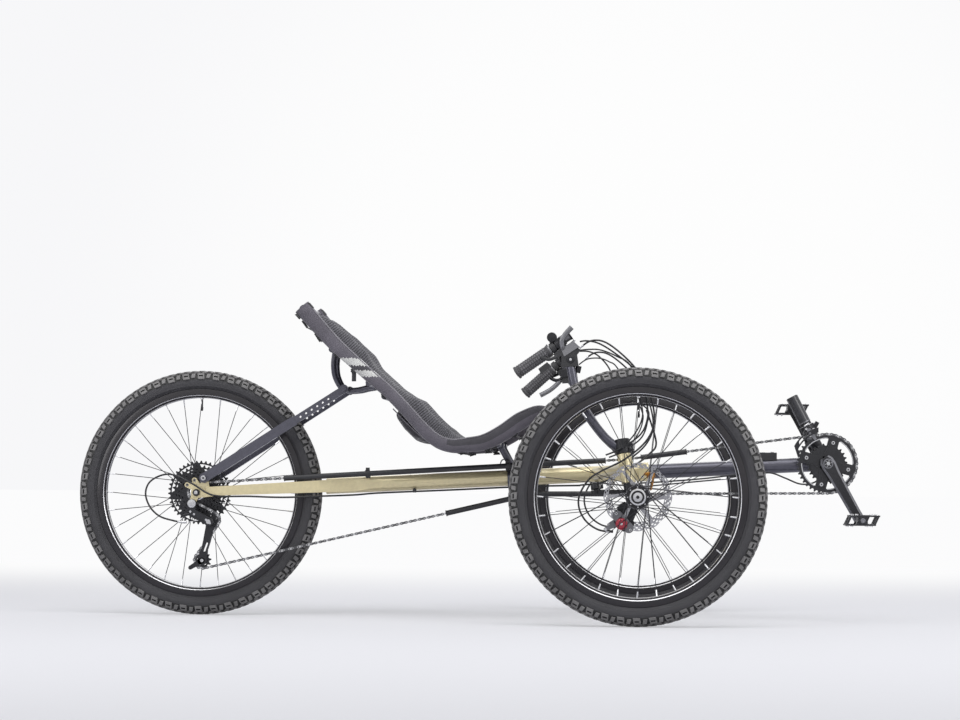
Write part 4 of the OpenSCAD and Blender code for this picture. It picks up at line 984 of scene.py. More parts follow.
for side, sign in (("left", 1), ("right", -1)):
    line = [(1052, 310, 728), (1086, 312, 748), (1130, 322, 738), (1196, 334, 680), (1236, 340, 612),
            (1251, 342, 539), (1230, 343, 484), (1175, 344, 436), (1115, 344, 405), (1080, 343, 381),
            (1056, 342, 340), (1056, 341, 304), (1074, 340, 272), (1104, 336, 251), (1138, 333, 244)]
    shape = cable_shape([(x, sign * y, z) for x, y, z in line])
    shape.hand_over(side + "_brake_housing", side + "_steering", "black_plastic", (1052, sign * 310, 728),
                    bevel=0, replaces=[side + "_brake_cable"])

# %% [markdown]
# The seat. Two rails wear a tight fabric sleeve with a piped upper edge. Between them hangs a pad
# of thick black spacer mesh with two long bolsters on each side, one at the shoulders and one at
# the small of the back. It is built as a closed form, evened out and then swelled a little by a
# short cloth simulation, so that its faces are rounded as stuffed mesh is. Ribs and pores come
# from the finish, which reads the distance along the seat.

# %% Seat finishes
def fabric(name, colour, rib=0.0, pore=900.0, rough=0.8, vary=0.15, bump=0.5, painted_highlight=1.5, painted_shade=0.72):
    """Woven cloth; rib is the number of cross ribs to the metre, along the seat. Its colour is lightened on the
    crests of the weave and ribs as painted highlight, and darkened in the pores as painted shade, by the factors
    painted_highlight and painted_shade.
    """
    material = finish(name, colour, rough=rough, vary=vary, grain=120, bump=0.2, rough_vary=0.08,
                      sheen=0.35, bump_scale=1600)
    n, link = material.node_tree.nodes, material.node_tree.links
    bsdf = next(q for q in n if q.type == "BSDF_PRINCIPLED")
    first = next(q for q in n if q.type == "BUMP")
    base = n["colour"].outputs["Color"]
    place = n.new("ShaderNodeTexCoord")
    cells = n.new("ShaderNodeTexVoronoi")
    cells.inputs["Scale"].default_value = pore
    link.new(place.outputs["Object"], cells.inputs["Vector"])
    height = cells.outputs["Distance"]
    if rib:
        along = n.new("ShaderNodeAttribute")
        along.attribute_name = "along"
        beat = n.new("ShaderNodeMath")
        beat.operation = "MULTIPLY"
        beat.inputs[1].default_value = 2 * math.pi * rib
        link.new(along.outputs["Fac"], beat.inputs[0])
        wave = n.new("ShaderNodeMath")
        wave.operation = "SINE"
        link.new(beat.outputs["Value"], wave.inputs[0])
        level = n.new("ShaderNodeMapRange")
        level.inputs["From Min"].default_value = -1.0
        link.new(wave.outputs["Value"], level.inputs["Value"])
        sum_of = n.new("ShaderNodeMath")
        sum_of.operation = "MULTIPLY_ADD"
        sum_of.inputs[1].default_value = 0.45
        link.new(height, sum_of.inputs[0])
        link.new(level.outputs["Result"], sum_of.inputs[2])
        height = sum_of.outputs["Value"]
    # The weave's height sets the colour: painted highlight on the crests and ribs, painted shade in the pores.
    ramp = n.new("ShaderNodeValToRGB")
    ramp.color_ramp.elements[0].position = 0.25
    ramp.color_ramp.elements[1].position = 0.95
    ramp.color_ramp.elements[0].color = (painted_shade, painted_shade, painted_shade, 1)
    ramp.color_ramp.elements[1].color = (painted_highlight, painted_highlight, painted_highlight, 1)
    link.new(height, ramp.inputs["Fac"])
    tint = n.new("ShaderNodeMix")
    tint.data_type = "RGBA"
    tint.blend_type = "MULTIPLY"
    tint.inputs["Factor"].default_value = 1.0
    link.new(base, tint.inputs["A"])
    link.new(ramp.outputs["Color"], tint.inputs["B"])
    link.new(tint.outputs["Result"], bsdf.inputs["Base Color"])
    weave = n.new("ShaderNodeBump")
    weave.inputs["Strength"].default_value = bump
    weave.inputs["Distance"].default_value = 0.0015
    link.new(height, weave.inputs["Height"])
    link.new(first.outputs["Normal"], weave.inputs["Normal"])
    link.new(weave.outputs["Normal"], bsdf.inputs["Normal"])
    return material


spacer_mesh = fabric("spacer_mesh", (0.045, 0.043, 0.050), rib=150, pore=520, bump=0.9, painted_highlight=2.4,
                     painted_shade=0.35)
sleeve_cloth = fabric("sleeve_cloth", (0.105, 0.096, 0.116), pore=1500, bump=0.2, painted_highlight=1.25)
sleeve_dark = fabric("sleeve_dark_cloth", (0.045, 0.042, 0.050), pore=1500, bump=0.25)
pocket_cloth = fabric("pocket_cloth", (0.055, 0.052, 0.060), pore=1300, bump=0.3)
reflective = fabric("reflective_tape", (0.58, 0.58, 0.56), pore=1100, rough=0.45, bump=0.15, painted_highlight=1.15)
piping_grey = fabric("piping_cord", (0.19, 0.18, 0.20), pore=1500, bump=0.2)
print("seat finishes made")

# %% The rail line
# columns: x, z, and the share of the way from the top's width to the seat's full width
RAIL = [(300, 836, 0), (341, 790, 0.1), (389, 740, 0.3), (442, 693, 0.55), (492, 650, 0.75),
        (536, 613, 0.9), (582, 567, 1), (628, 517, 1), (669, 482, 1), (709, 469, 1), (752, 471, 1),
        (798, 478, 1), (846, 503, 1), (893, 536, 0.95), (936, 559, 0.9), (962, 560, 0.85)]
SEAT_W = 390
SEAT_TOP_W = 280
PER = 8
rail_path = smooth_line([(x, (SEAT_TOP_W + (SEAT_W - SEAT_TOP_W) * s) / 2, z) for x, z, s in RAIL], PER)
RAIL_D = 30


def graded(u, table):
    """A value read from a table of (place along the rail, value), with straight lines between."""
    return float(np.interp(u, [row[0] for row in table], [row[1] for row in table]))


def rail_at(u):
    """Point on the left rail and the way up out of the seat there; u counts the rail's bends."""
    i = min(u * PER, len(rail_path) - 1.001)
    k = max(int(i), 0)
    point = rail_path[k] + (rail_path[k + 1] - rail_path[k]) * (i - k)
    a, b = rail_path[max(k - 1, 0)], rail_path[min(k + 2, len(rail_path) - 1)]
    heading = b - a
    up = Vector((-heading.z, 0, heading.x)).normalized()
    return point, up


def mark_along(obj):
    """Store on every vertex how far along the seat it lies, in metres."""
    line = np.array([(p.x, p.z) for p in rail_path])
    run = np.concatenate([[0], np.cumsum(np.linalg.norm(np.diff(line, axis=0), axis=1))])
    data = obj.data
    co = np.empty(len(data.vertices) * 3)
    data.vertices.foreach_get("co", co)
    co = co.reshape(-1, 3)
    here = np.array([(co[:, 0] + obj.location.x - AXLE_X) / MM, (co[:, 2] + obj.location.z) / MM]).T
    best = np.full(len(here), 1e9)
    far = np.zeros(len(here))
    for i in range(len(line) - 1):
        step = line[i + 1] - line[i]
        t = np.clip(((here - line[i]) @ step) / (step @ step), 0, 1)
        gap = np.linalg.norm(here - line[i] - t[:, None] * step, axis=1)
        nearer = gap < best
        best[nearer] = gap[nearer]
        far[nearer] = run[i] + t[nearer] * np.linalg.norm(step)
    attribute = data.attributes.new("along", "FLOAT", "POINT")
    attribute.data.foreach_set("value", (far * MM).astype(np.float32))


def soften(obj, voxel, cap, pressure=4.0, frames=20):
    """Even the mesh out, swell it with a short cloth simulation, and keep the move under a cap."""
    scene = bpy.context.scene
    even = obj.modifiers.new("even", "REMESH")
    even.mode = "VOXEL"
    even.voxel_size = voxel
    bpy.context.view_layer.update()
    shown = obj.evaluated_get(bpy.context.evaluated_depsgraph_get())
    data = bpy.data.meshes.new_from_object(shown)
    finishes = list(obj.data.materials)
    obj.modifiers.clear()
    obj.data = data
    data.materials.clear()
    for kept in finishes:
        data.materials.append(kept)
    data.shade_smooth()
    cloth = obj.modifiers.new("swell", "CLOTH")
    cloth.settings.use_pressure = True
    cloth.settings.uniform_pressure_force = pressure
    cloth.settings.effector_weights.gravity = 0
    cloth.settings.quality = 4
    cloth.collision_settings.use_collision = False
    cloth.point_cache.frame_start = 1
    cloth.point_cache.frame_end = frames
    count = len(data.vertices)
    start = np.empty(count * 3)
    data.vertices.foreach_get("co", start)
    for number in range(1, frames + 1):
        scene.frame_set(number)
    swelled = obj.evaluated_get(bpy.context.evaluated_depsgraph_get()).to_mesh()
    end = np.empty(count * 3)
    swelled.vertices.foreach_get("co", end)
    obj.modifiers.clear()
    scene.frame_set(1)
    move = (end - start).reshape(-1, 3)
    length = np.linalg.norm(move, axis=1)
    share = np.minimum(1.0, cap / np.maximum(length, 1e-9))
    data.vertices.foreach_set("co", (start.reshape(-1, 3) + move * share[:, None]).ravel())
    data.update()
    print(f"{obj.name}: {count} points swelled by up to {1000 * float((length * share).max()):.1f} mm")


# %% The mesh pad
BOLSTER_H = 45
MAT_LOW = -3
PAD_GAP = 4
mat_rows = [(0, 0.53), (1, 0.8), (2, 0.98), (3, 0.93), (3.6, 0.62), (5, 0.53), (5.6, 0.71), (6, 0.96),
            (8.2, 1), (9, 0.76), (9.7, 0.49), (11, 0.56), (14, 0.33)]
SHRINK = 2.5


def pad_section(s):
    """Share of the pad's height at s, from -1 at one edge to 1 at the other."""
    a = abs(s)
    bolster = math.exp(-((a - 0.78) / 0.17) ** 2)
    edge = max(0.0, (a - 0.86) / 0.14) ** 2
    return 0.60 + 0.40 * bolster - 0.42 * edge


shape = Shape(spacer_mesh)
columns = 26
ring_size = 2 * columns
points = []
rows = 0
u = 0.6
while u <= 13.9:
    point, up = rail_at(u)
    w = point.y - RAIL_D / 2 - PAD_GAP
    top = BOLSTER_H * graded(u, mat_rows) - SHRINK
    for k in range(columns):
        s = -1 + 2 * k / (columns - 1)
        points.append(Vector((point.x, s * w, point.z)) + up * (MAT_LOW + SHRINK))
    for k in range(columns):
        s = 1 - 2 * k / (columns - 1)
        points.append(Vector((point.x, s * w, point.z)) + up * (MAT_LOW + (top - MAT_LOW) * pad_section(s)))
    rows += 1
    u += 0.1
faces = skin_faces(rows, ring_size)
faces += [tuple(range(ring_size - 1, -1, -1)), tuple((rows - 1) * ring_size + k for k in range(ring_size))]
shape.add(points, faces, 0)
seat_pad = shape.hand_over("seat_mesh_pad", "frame", "mesh", (628, 0, 517), bevel=0, sharp=80,
                           replaces=["seat_mat"])
soften(seat_pad, voxel=0.0065, cap=0.003)
mark_along(seat_pad)
finer = seat_pad.modifiers.new("finer", "SUBSURF")
finer.levels = 1
finer.render_levels = 1

# %% Rail sleeves
sleeve_up = [(0, 23), (1, 21), (3, 18), (5, 17), (7, 17), (9, 19), (11, 24), (13, 25), (14, 20), (15, 16)]
sleeve_down = [(0, 23), (1, 21), (3, 18), (5, 17), (7, 17), (9, 19), (11, 20), (13, 23), (14, 20), (15, 15)]
tape = [(2.75, 3.2), (3.5, 3.9)]
TAPE_SKEW = 0.34
SLEEVE_HALF_W = 16.6
SQUARENESS = 2.6
for side, sign in (("left", 1), ("right", -1)):
    shape = Shape(sleeve_cloth, sleeve_dark, reflective, piping_grey)
    sides = 24
    points = []
    stations = [-0.25 + 15.2 * i / 304 for i in range(305)]
    for u in stations:
        point, up = rail_at(u)
        crease = 0.5 * math.sin(9 * u) * math.sin(3.1 * u + 1)
        for k in range(sides):
            a = 2 * math.pi * k / sides
            high = graded(u, sleeve_up if math.sin(a) > 0 else sleeve_down)
            c, s = math.cos(a), math.sin(a)
            flat = 1 / max(abs(c) ** SQUARENESS + abs(s) ** SQUARENESS, 1e-6) ** (1 / SQUARENESS)
            across = Vector((0, sign * (SLEEVE_HALF_W + crease) * c * flat, 0))
            points.append(Vector((point.x, sign * point.y, point.z)) + across + up * (high * s * flat))
    looks = {0: [], 1: [], 2: []}
    for i in range(len(stations) - 1):
        for k in range(sides):
            a = 2 * math.pi * (k + 0.5) / sides
            u = stations[i] - TAPE_SKEW * math.sin(a)
            taped = any(low < u < high for low, high in tape)
            between = tape[0][1] <= u <= tape[1][0]
            upper_front = stations[i] > 8.6 and math.sin(a) > 0.12
            which = 2 if taped else 1 if between or upper_front else 0
            after = (k + 1) % sides
            looks[which].append((i * sides + k, i * sides + after, (i + 1) * sides + after,
                                 (i + 1) * sides + k))
    made = [shape.mesh.verts.new(p) for p in points]
    for which, faces in looks.items():
        for corner_list in faces:
            face = shape.mesh.faces.new([made[j] for j in corner_list])
            face.material_index = which
            face.smooth = True
    for i in (0, len(stations) - 1):
        face = shape.mesh.faces.new([made[i * sides + k] for k in range(sides)])
        face.material_index = 1
    edge = []
    for i in range(3, 150):
        u = 15 * i / 155
        point, up = rail_at(u)
        edge.append(Vector((point.x, sign * (point.y + 11.5), point.z)) + up * (graded(u, sleeve_up) - 2.4))
    shape.tube(edge, 3.0, 3, sides=8)
    sleeve = shape.hand_over(side + "_rail_sleeve", "frame", "mesh", (628, sign * 195, 517), bevel=0,
                             sharp=60)
    mark_along(sleeve)

# %% Under-seat pocket
inner = [(548, 574), (580, 541), (612, 508), (648, 481)]
outer = [(643, 470), (608, 482), (571, 518), (541, 560)]
outline = inner + outer
middle = Vector((sum(p[0] for p in outline) / 8, 0, sum(p[1] for p in outline) / 8))
shape = Shape(pocket_cloth)
points = []
slices = 15
for j in range(slices):
    y = -137 + 274 * j / (slices - 1)
    shrink = 0.93 - 0.30 * abs(2 * j / (slices - 1) - 1) ** 6
    for x, z in outline:
        points.append(middle + (Vector((x, 0, z)) - middle) * shrink + Vector((0, y, 0)))
n = len(outline)
faces = skin_faces(slices, n)
faces += [tuple(range(n - 1, -1, -1)), tuple((slices - 1) * n + k for k in range(n))]
shape.add(points, faces, 0)
pocket = shape.hand_over("under_seat_pocket", "frame", "mesh", middle, bevel=0, sharp=80,
                         replaces=["seat_pocket"])
soften(pocket, voxel=0.005, cap=0.003)
mark_along(pocket)
finer = pocket.modifiers.new("finer", "SUBSURF")
finer.levels = 1
finer.render_levels = 1

# %% Seat straps, clips and seams
webbing = fabric("strap_webbing", (0.028, 0.028, 0.032), pore=1300, bump=0.4)
shape = Shape(webbing, black_moulded, piping_grey)
for side in (-1, 1):
    lip = [(p[0] + 3 * (1 if p[0] > 600 else 0) - 4, side * 141, p[1] - 5) for p in inner]
    shape.tube(smooth_line(lip, 6), 3.4, 2, sides=8)
for u in (1.4, 2.3, 5.0, 9.6, 11.0, 12.4):
    point, up = rail_at(u)
    low = -graded(u, sleeve_down)
    line = [Vector((point.x, y, point.z)) + up * (low + 3 - 5 * (1 - (y / point.y) ** 2))
            for y in np.linspace(-point.y, point.y, 13)]
    shape.tube(line, 3.0, 0, sides=8, flat=4.0)
    heading = math.degrees(math.atan2(-up.x, up.z))
    for side in (-1, 1):
        hook = Vector((point.x, side * (point.y + 1), point.z)) + up * (low - 2.5)
        shape.block(hook + up * 2, (20, 12, 3.4), 1, tilt=heading, taper=0.8)
        shape.block(hook - up * 0.5, (11, 8, 3.4), 1, tilt=heading + 12, taper=0.7)
for side in (-1, 1):
    strap_line = [(437, side * 172, 676), (441, side * 173, 662), (441, side * 174, 641)]
    shape.tube(strap_line, 3.6, 0, sides=8, flat=3.4)
    shape.block((440, side * 173, 668), (15, 9, 7), 1, tilt=-12)
    shape.rod((295, side * 140, 806), (309, side * 140, 787), 6, 1, sides=10)
    shape.rod((309, side * 140, 787), (327, side * 146, 778), 3.4, 0, sides=8)
    shape.block((340, side * 148, 761), (26, 10, 9), 1, tilt=-56)
    shape.block((381, side * 154, 728), (24, 8, 5), 1, tilt=-48)
    point, up = rail_at(0.1)
    across = Vector((0, (side - 1) * point.y, 0))
    shape.block(point + across + up * 20, (20, 24, 8), 1, tilt=-48, taper=0.8)
    shape.block(point + across - up * 22 - Vector((2, 0, 0)), (16, 24, 8), 1, tilt=-48, taper=0.8)
    shape.block((739, side * 190, 449), (20, 12, 4), 1, tilt=4)
    shape.block((808, side * 190, 462), (46, 14, 6), 1, tilt=9, taper=0.9)
    shape.block((808, side * 190, 453), (20, 12, 7), 1, tilt=4, taper=0.7)
shape.hand_over("seat_straps_and_clips", "frame", "black_plastic", (628, 0, 517), bevel=0.3)

# %% [markdown]
# Handlebars. Each grip is moulded rubber with square pads along it, locked by a metal collar. In
# front of it sit a lever on its clamp and a shift pod, and on the near bar a bell. Real
# controls are many small mouldings, so each is a handful of plates, rods and blocks set in the
# bar's own direction. The shift cable that crosses from the right bar to the frame is laid as one
# fixed curve.

# %% Grips
grip_rubber = finish("grip_rubber", (0.060, 0.058, 0.062), rough=0.6, vary=0.2, grain=150, bump=0.35,
                     bump_scale=900)
pad_rubber = finish("grip_pads", (0.125, 0.122, 0.130), rough=0.55, vary=0.2, grain=150, bump=0.3,
                    bump_scale=900)
control_grey = finish("control_grey", (0.20, 0.20, 0.21), rough=0.35, metal=0.6, vary=0.2, bump=0.08)
BARS = {"right": (1002, 741, 34.7, -1), "left": (986, 722, 42, 1)}
GRIP_Y = 300
PAD_ROWS = 13
PADS_ROUND = 10
PAD_HALF_L = 2.5
PAD_HALF_ANGLE = 0.235


def bar_frame(side):
    """Frame with X up the bar, Y outward and Z square to it, at the bar's top end."""
    x, z, slope, sign = BARS[side]
    turned = Matrix.Rotation(-math.radians(slope), 4, "Y")
    return Matrix.Translation(Vector((x, sign * GRIP_Y, z))) @ turned, sign


for side in BARS:
    shape = Shape(grip_rubber, pad_rubber, control_grey, black_moulded)
    frame_of, sign = bar_frame(side)
    shape.frame = frame_of
    sides = 40
    rings = [(-142, 14), (-141, 17.2), (-137, 18), (-135, 16.6), (-134, 15.6), (-42, 15.6), (-40, 16.6),
             (-36, 16.6), (-35, 14)]
    points = [(s, r * math.cos(2 * math.pi * k / sides), r * math.sin(2 * math.pi * k / sides))
              for s, r in rings for k in range(sides)]
    faces = skin_faces(len(rings), sides)
    faces += [tuple(range(sides - 1, -1, -1)), tuple((len(rings) - 1) * sides + k for k in range(sides))]
    shape.add(points, faces, 0)
    for j in range(PAD_ROWS):
        s = -130 + 6.8 * j
        for k in range(PADS_ROUND):
            a = 2 * math.pi * k / PADS_ROUND
            corners = []
            for r, shrink in ((14.8, 1.0), (16.7, 0.86)):
                for ds, da in ((-1, -1), (1, -1), (1, 1), (-1, 1)):
                    turn = a + da * PAD_HALF_ANGLE * shrink
                    corners.append((s + ds * PAD_HALF_L * shrink, r * math.cos(turn), r * math.sin(turn)))
            shape.add(corners, BOX_FACES, 1 if j > 0 else 0)
    shape.rod((-141, 0, 0), (-143.2, 0, 0), 22, 3, sides=32, d_end=19)
    shape.rod((-36.5, 0, 0), (-31.5, 0, 0), 31, 2, sides=32)
    shape.rod((-34, 0, 12), (-34, 0, 18), 5, 2, sides=10)
    shape.frame = Matrix.Identity(4)
    x, z, slope, sign = BARS[side]
    shape.hand_over(side + "_padded_grip_rubber", side + "_steering", "grip", (x, sign * GRIP_Y, z),
                    bevel=0.25, replaces=[side + "_grip"])

# %% Handlebar tubes and their clamps
lean_in = Vector((-math.tan(math.radians(10)), -math.tan(math.radians(11)), 1)).normalized()
HEAD = Vector((1209 - 18 - 73 * math.tan(math.radians(10)), 400 - 410 * math.tan(math.radians(11)), 410))
clamp_low = HEAD + lean_in * 41
clamp_high = HEAD + lean_in * 79
clamp_centre = HEAD + lean_in * 60
for side, (x, z, slope, sign) in BARS.items():

    def mirrored(p):
        """The same place on this side of the trike."""
        return Vector((p[0], sign * p[1], p[2]))

    shape = Shape(grey_paint, black_satin, bright_steel)
    shape.rod(mirrored(clamp_low), mirrored(clamp_high), 42, 1, sides=48)
    shape.rod(mirrored(clamp_low + lean_in * 3), mirrored(clamp_high - lean_in * 3), 43.4, 1, sides=48)
    for s in (12, 27):
        spot = clamp_low + lean_in * s
        shape.rod(mirrored(spot + Vector((14, 16, 0))), mirrored(spot + Vector((26, 6, 0))), 9, 1, sides=16)
        shape.rod(mirrored(spot + Vector((25, 7, 0))), mirrored(spot + Vector((28, 4.5, 0))), 6, 2, sides=6)
    stem = [(clamp_centre.x - 8, clamp_centre.y, clamp_centre.z - 4), (1126, 315, 488), (1090, 315, 531),
            (1062, 313, 575), (1040, 308, 630), (x + 24, 304, z - 50), (x + 4, GRIP_Y, z - 6)]
    shape.tube(smooth_line([mirrored(p) for p in stem], 8), 24, 0, sides=28)
    shape.rod((x, sign * 286, z), (x, sign * 314, z), 30, 1, sides=32)
    shape.frame, out = bar_frame(side)
    shape.rod((-136, 0, 0), (14, 0, 0), 22.2, 1, sides=32)
    shape.rod((14, 0, 0), (15.2, 0, 0), 19, 2, sides=32)
    shape.frame = Matrix.Identity(4)
    shape.hand_over(side + "_bar_tube", side + "_steering", "grey_paint", (x, sign * GRIP_Y, z), bevel=0.4,
                    replaces=[side + "_handlebar"])

# %% Levers, shifters and the bell
for side in BARS:
    shape = Shape(black_moulded, control_grey, bright_steel, black_satin)
    frame_of, sign = bar_frame(side)
    shape.frame = frame_of
    shape.rod((-30, 0, 0), (-17, 0, 0), 31, 0, sides=32)
    shape.rod((-14, 0, 0), (-3, 0, 0), 32, 3, sides=32)
    shape.rod((-8, 0, -14), (-8, 0, -24), 9, 2, sides=14)
    # the lever's pivot housing, on the forward and lower side of the bar
    shape.block((-19, 4 * sign, -21), (30, 22, 17), 0, tilt=8, taper=0.85)
    shape.block((-2, 2 * sign, -26), (26, 16, 12), 1, tilt=-20, taper=0.8)
    shape.rod((-12, -8 * sign, -29), (-12, 10 * sign, -29), 8, 2, sides=14)
    blade = [(-8, 0, -30), (-26, 0, -37), (-50, 0, -41), (-76, 0, -41), (-98, 0, -37), (-112, 0, -33)]
    if side == "right":
        blade = [(-6, -6, -24), (-2, -16, -12), (6, -20, 2), (20, -20, 10), (34, -20, 14), (48, -20, 17)]
    shape.tube(smooth_line(blade, 5), 8.5, 1, sides=12, flat=1.5, d_end=9.5)
    # cable adjuster and its ferrule
    shape.rod((2, 0, -22), (26, 0, -16), 9, 0, sides=16, d_end=7)
    shape.rod((26, 0, -16), (36, 0, -14), 6.4, 2, sides=14)
    shape.frame = Matrix.Identity(4)
    x, z, slope, sign = BARS[side]
    y = sign * GRIP_Y
    if side == "right":
        shape.rod((979, y, 733), (979, y, 752), 13, 3, sides=20)
        shape.turn([(0.01, -13), (12.5, -12), (13.4, -9), (13.4, 9), (12.5, 12), (0.01, 13)],
                   centre=(979, y, 756), finish=3, steps=28)
        shape.rod((1001, y, 746), (1026, y, 762), 25, 1, sides=28, d_end=24)
        shape.rod((1024, y, 760.5), (1028, y, 763.3), 26.5, 3, sides=28)
        shape.rod((1006, y, 722), (1012, y, 748), 9, 3, sides=16)
        shape.block((1026, y - 3, 727), (48, 28, 22), 1, tilt=34, taper=0.8)
        shape.block((1041, y - 4, 724), (18, 24, 24), 3, tilt=52, taper=0.6)
    shape.block((x + 24, y, z - 42), (46, 34, 42), 0, tilt=4, taper=0.86)
    shape.block((x + 10, y - 16 * sign, z - 36), (28, 9, 22), 3, tilt=14, taper=0.8)
    shape.turn([(0.01, 18), (9, 18), (11, 16), (11, -16), (9, -18), (0.01, -18)],
               centre=(x + 27, y, z - 44), finish=3, steps=28)
    shape.rod((x + 27, y + 19, z - 44), (x + 27, y - 19, z - 44), 7, 2, sides=14)
    shape.rod((x + 45, y, z - 78), (x + 49, y, z - 60), 15, 3, sides=18)
    shape.tube(smooth_line([(x - 8, y + 14 * sign, z - 36), (x - 30, y + 16 * sign, z - 44),
                            (x - 52, y + 16 * sign, z - 38)], 5), 5.5, 0, sides=10, flat=1.7)
    if side == "left":
        loop_line = [(x - 42, y, z - 36), (x - 30, y, z - 50), (x - 14, y, z - 56), (x + 2, y, z - 50),
                     (x + 10, y, z - 34)]
        shape.tube(smooth_line(loop_line, 5), 10, 3, sides=12)
        shape.block((x - 46, y, z - 24), (38, 30, 26), 0, tilt=38, taper=0.85)
    shape.hand_over(side + "_bar_controls", side + "_steering", "black_plastic", (x, y, z), bevel=0.5,
                    replaces=[side + "_controls"])

# %% Bar cables and the cable that crosses
ARCHES = {
    "right": [[(1053, 310, 745), (1073, 311, 747), (1104, 313, 740), (1144, 318, 716), (1193, 328, 677),
               (1220, 334, 640)],
              [(1048, 300, 722), (1078, 302, 725), (1110, 304, 723), (1152, 312, 706), (1188, 322, 680)]],
    "left": [[(1038, 310, 751), (1065, 311, 750), (1094, 314, 736), (1125, 318, 698), (1140, 322, 640)],
             [(1036, 300, 712), (1060, 302, 728), (1094, 306, 731), (1123, 310, 721), (1149, 316, 700)]],
}
for side, arches in ARCHES.items():
    sign = BARS[side][3]
    shape = Shape(cable_black, bright_steel)
    for line in arches:
        line = [(x, sign * y, z) for x, y, z in line]
        lean = 1 if line[0][2] > 730 else -1
        line += [(1222 + 8 * lean, sign * 336, 590), (1226 + 7 * lean, sign * 338, 545),
                 (1206 + 8 * lean, sign * 338, 500), (1160, sign * 336, 462), (1124, sign * 334, 446)]
        shape.tube(smooth_line(line, 7), 4.6 if line[0][2] > 730 else 4.0, 0, sides=12)
    shape.hand_over(side + "_bar_cables", side + "_steering", "black_plastic", (1052, sign * 310, 728),
                    bevel=0)

cross = Shape(cable_black)
cross_line = [(1230, -330, 566), (1256, -318, 481), (1238, -262, 450), (1206, -180, 425), (1160, -90, 398),
              (1110, -34, 374), (1050, -20, 366)]
cross.tube(smooth_line(cross_line, 10), 5, 0, sides=12)
crossing = cross.hand_over("crossing_shift_cable", None, "black_plastic", (1200, -180, 430), bevel=0)
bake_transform(crossing)

# %% [markdown]
# Brakes. Each caliper is a mechanical one: two cast halves over the disc, a round adjuster with a
# red knob, an arm pulled by the cable, and the open slot where the pads show.

# %% Calipers
red_knob = finish("red_anodised_knob", (0.36, 0.035, 0.055), rough=0.3, metal=0.55, vary=0.15, bump=0.05,
                  coat=0.4)
cast_grey = finish("cast_grey_metal", (0.17, 0.17, 0.18), rough=0.42, metal=0.75, vary=0.25, grain=120,
                   bump=0.15)
CALIPER = (1171.0, 271.2)
for side, sign in (("left", 1), ("right", -1)):
    shape = Shape(cast_grey, black_satin, bright_steel, red_knob)
    cx, cz = CALIPER

    def on_caliper(dx, y, dz):
        """A place given from the caliper's middle, outwards along y."""
        return (cx + dx, sign * y, cz + dz)

    def lay(y1, y2):
        """Two places outwards, in rising order on this side."""
        return sorted((sign * y1, sign * y2))

    body = strap((cx - 14, cz + 15), (cx + 15, cz - 16), 14, 13)
    slot_hole = strap((cx - 6, cz + 7), (cx + 7, cz - 7), 6, 6)
    y1, y2 = lay(343, 353.5)
    shape.plate(body, y1, y2, 1)
    y1, y2 = lay(362.5, 371)
    shape.plate(body, y1, y2, 0, holes=[slot_hole])
    y1, y2 = lay(353.5, 362.5)
    shape.plate(strap((cx - 17, cz + 2), (cx + 2, cz - 18), 7, 7), y1, y2, 1)
    for dx, dz in ((-18, 22), (19, -21)):
        shape.rod(on_caliper(dx, 342.5, dz), on_caliper(dx, 374, dz), 7, 2, sides=14)
        shape.rod(on_caliper(dx, 372, dz), on_caliper(dx, 375, dz), 4, 1, sides=6)
    ridges = [polar((cx - 4, cz - 5), 15.9 if i % 2 else 14.9, 7.5 * i) for i in range(48)]
    y1, y2 = lay(371, 378)
    shape.plate(ridges, y1, y2, 3)
    shape.rod(on_caliper(-4, 378, -5), on_caliper(-4, 380, -5), 26, 3, sides=36, d_end=21)
    shape.rod(on_caliper(-4, 380, -5), on_caliper(-4, 380.6, -5), 7, 2, sides=6)
    # cable arm and its stop
    arm = strap((cx - 6, cz + 3), (cx - 46, cz - 20), 9, 5)
    y1, y2 = lay(338, 342.5)
    shape.plate(arm, y1, y2, 0)
    shape.rod((cx - 46, sign * 335, cz - 20), (cx - 46, sign * 344, cz - 20), 8, 2, sides=12)
    shape.rod((cx - 47, sign * 333, cz - 24), (cx - 26, sign * 333, cz - 26), 7, 1, sides=14)
    shape.block((cx - 2, sign * 340, cz + 30), (24, 5, 30), 1, tilt=28, taper=0.8)
    shape.hand_over(side + "_disc_caliper", side + "_steering", "black_metal", (cx, sign * 357, cz),
                    bevel=0.5, replaces=[side + "_brake_caliper"])

# %% [markdown]
# Crankset. The arms are forged and machined: broad, with a bevelled edge that catches the light,
# and they carry a self-extracting bolt at the middle. The outer ring is a plate with four large
# windows between the arms of its spider, and it wears its own teeth; the pedals are open cages
# with short traction pins.

# %% Chainrings
crank_black = finish("crank_black", (0.028, 0.028, 0.031), rough=0.3, metal=0.6, vary=0.15, bump=0.04,
                     coat=0.4)
edge_grey = finish("crank_edge", (0.20, 0.20, 0.215), rough=0.35, metal=0.7, vary=0.15, bump=0.05)
ring_r = pitch_radius(RING_TEETH)
INNER_TEETH = 26
CRANK_ANGLE = 60.5
spider = 45 - CRANK_ANGLE
middle = (bb.x, bb.z)
shape = Shape(crank_black, bright_steel, edge_grey)
holes = []
for i in range(4):
    a = spider + 45 + 90 * i
    window = [polar(middle, ring_r - 12.5, a + t) for t in range(-32, 33, 4)]
    window += [polar(middle, ring_r - 34, a + t) for t in range(26, -27, -4)]
    holes.append(window)
holes.append(circle(middle, 17.5, 40))
shape.plate(tooth_outline(middle, RING_TEETH, 2), CHAIN_Y - 1, CHAIN_Y + 1, 0, holes=holes, edge=1)
inner_r = pitch_radius(INNER_TEETH)
shape.plate(tooth_outline(middle, INNER_TEETH, 4), CHAIN_Y + 7, CHAIN_Y + 9, 0,
            holes=[circle(middle, inner_r - 13, 72)], edge=1)
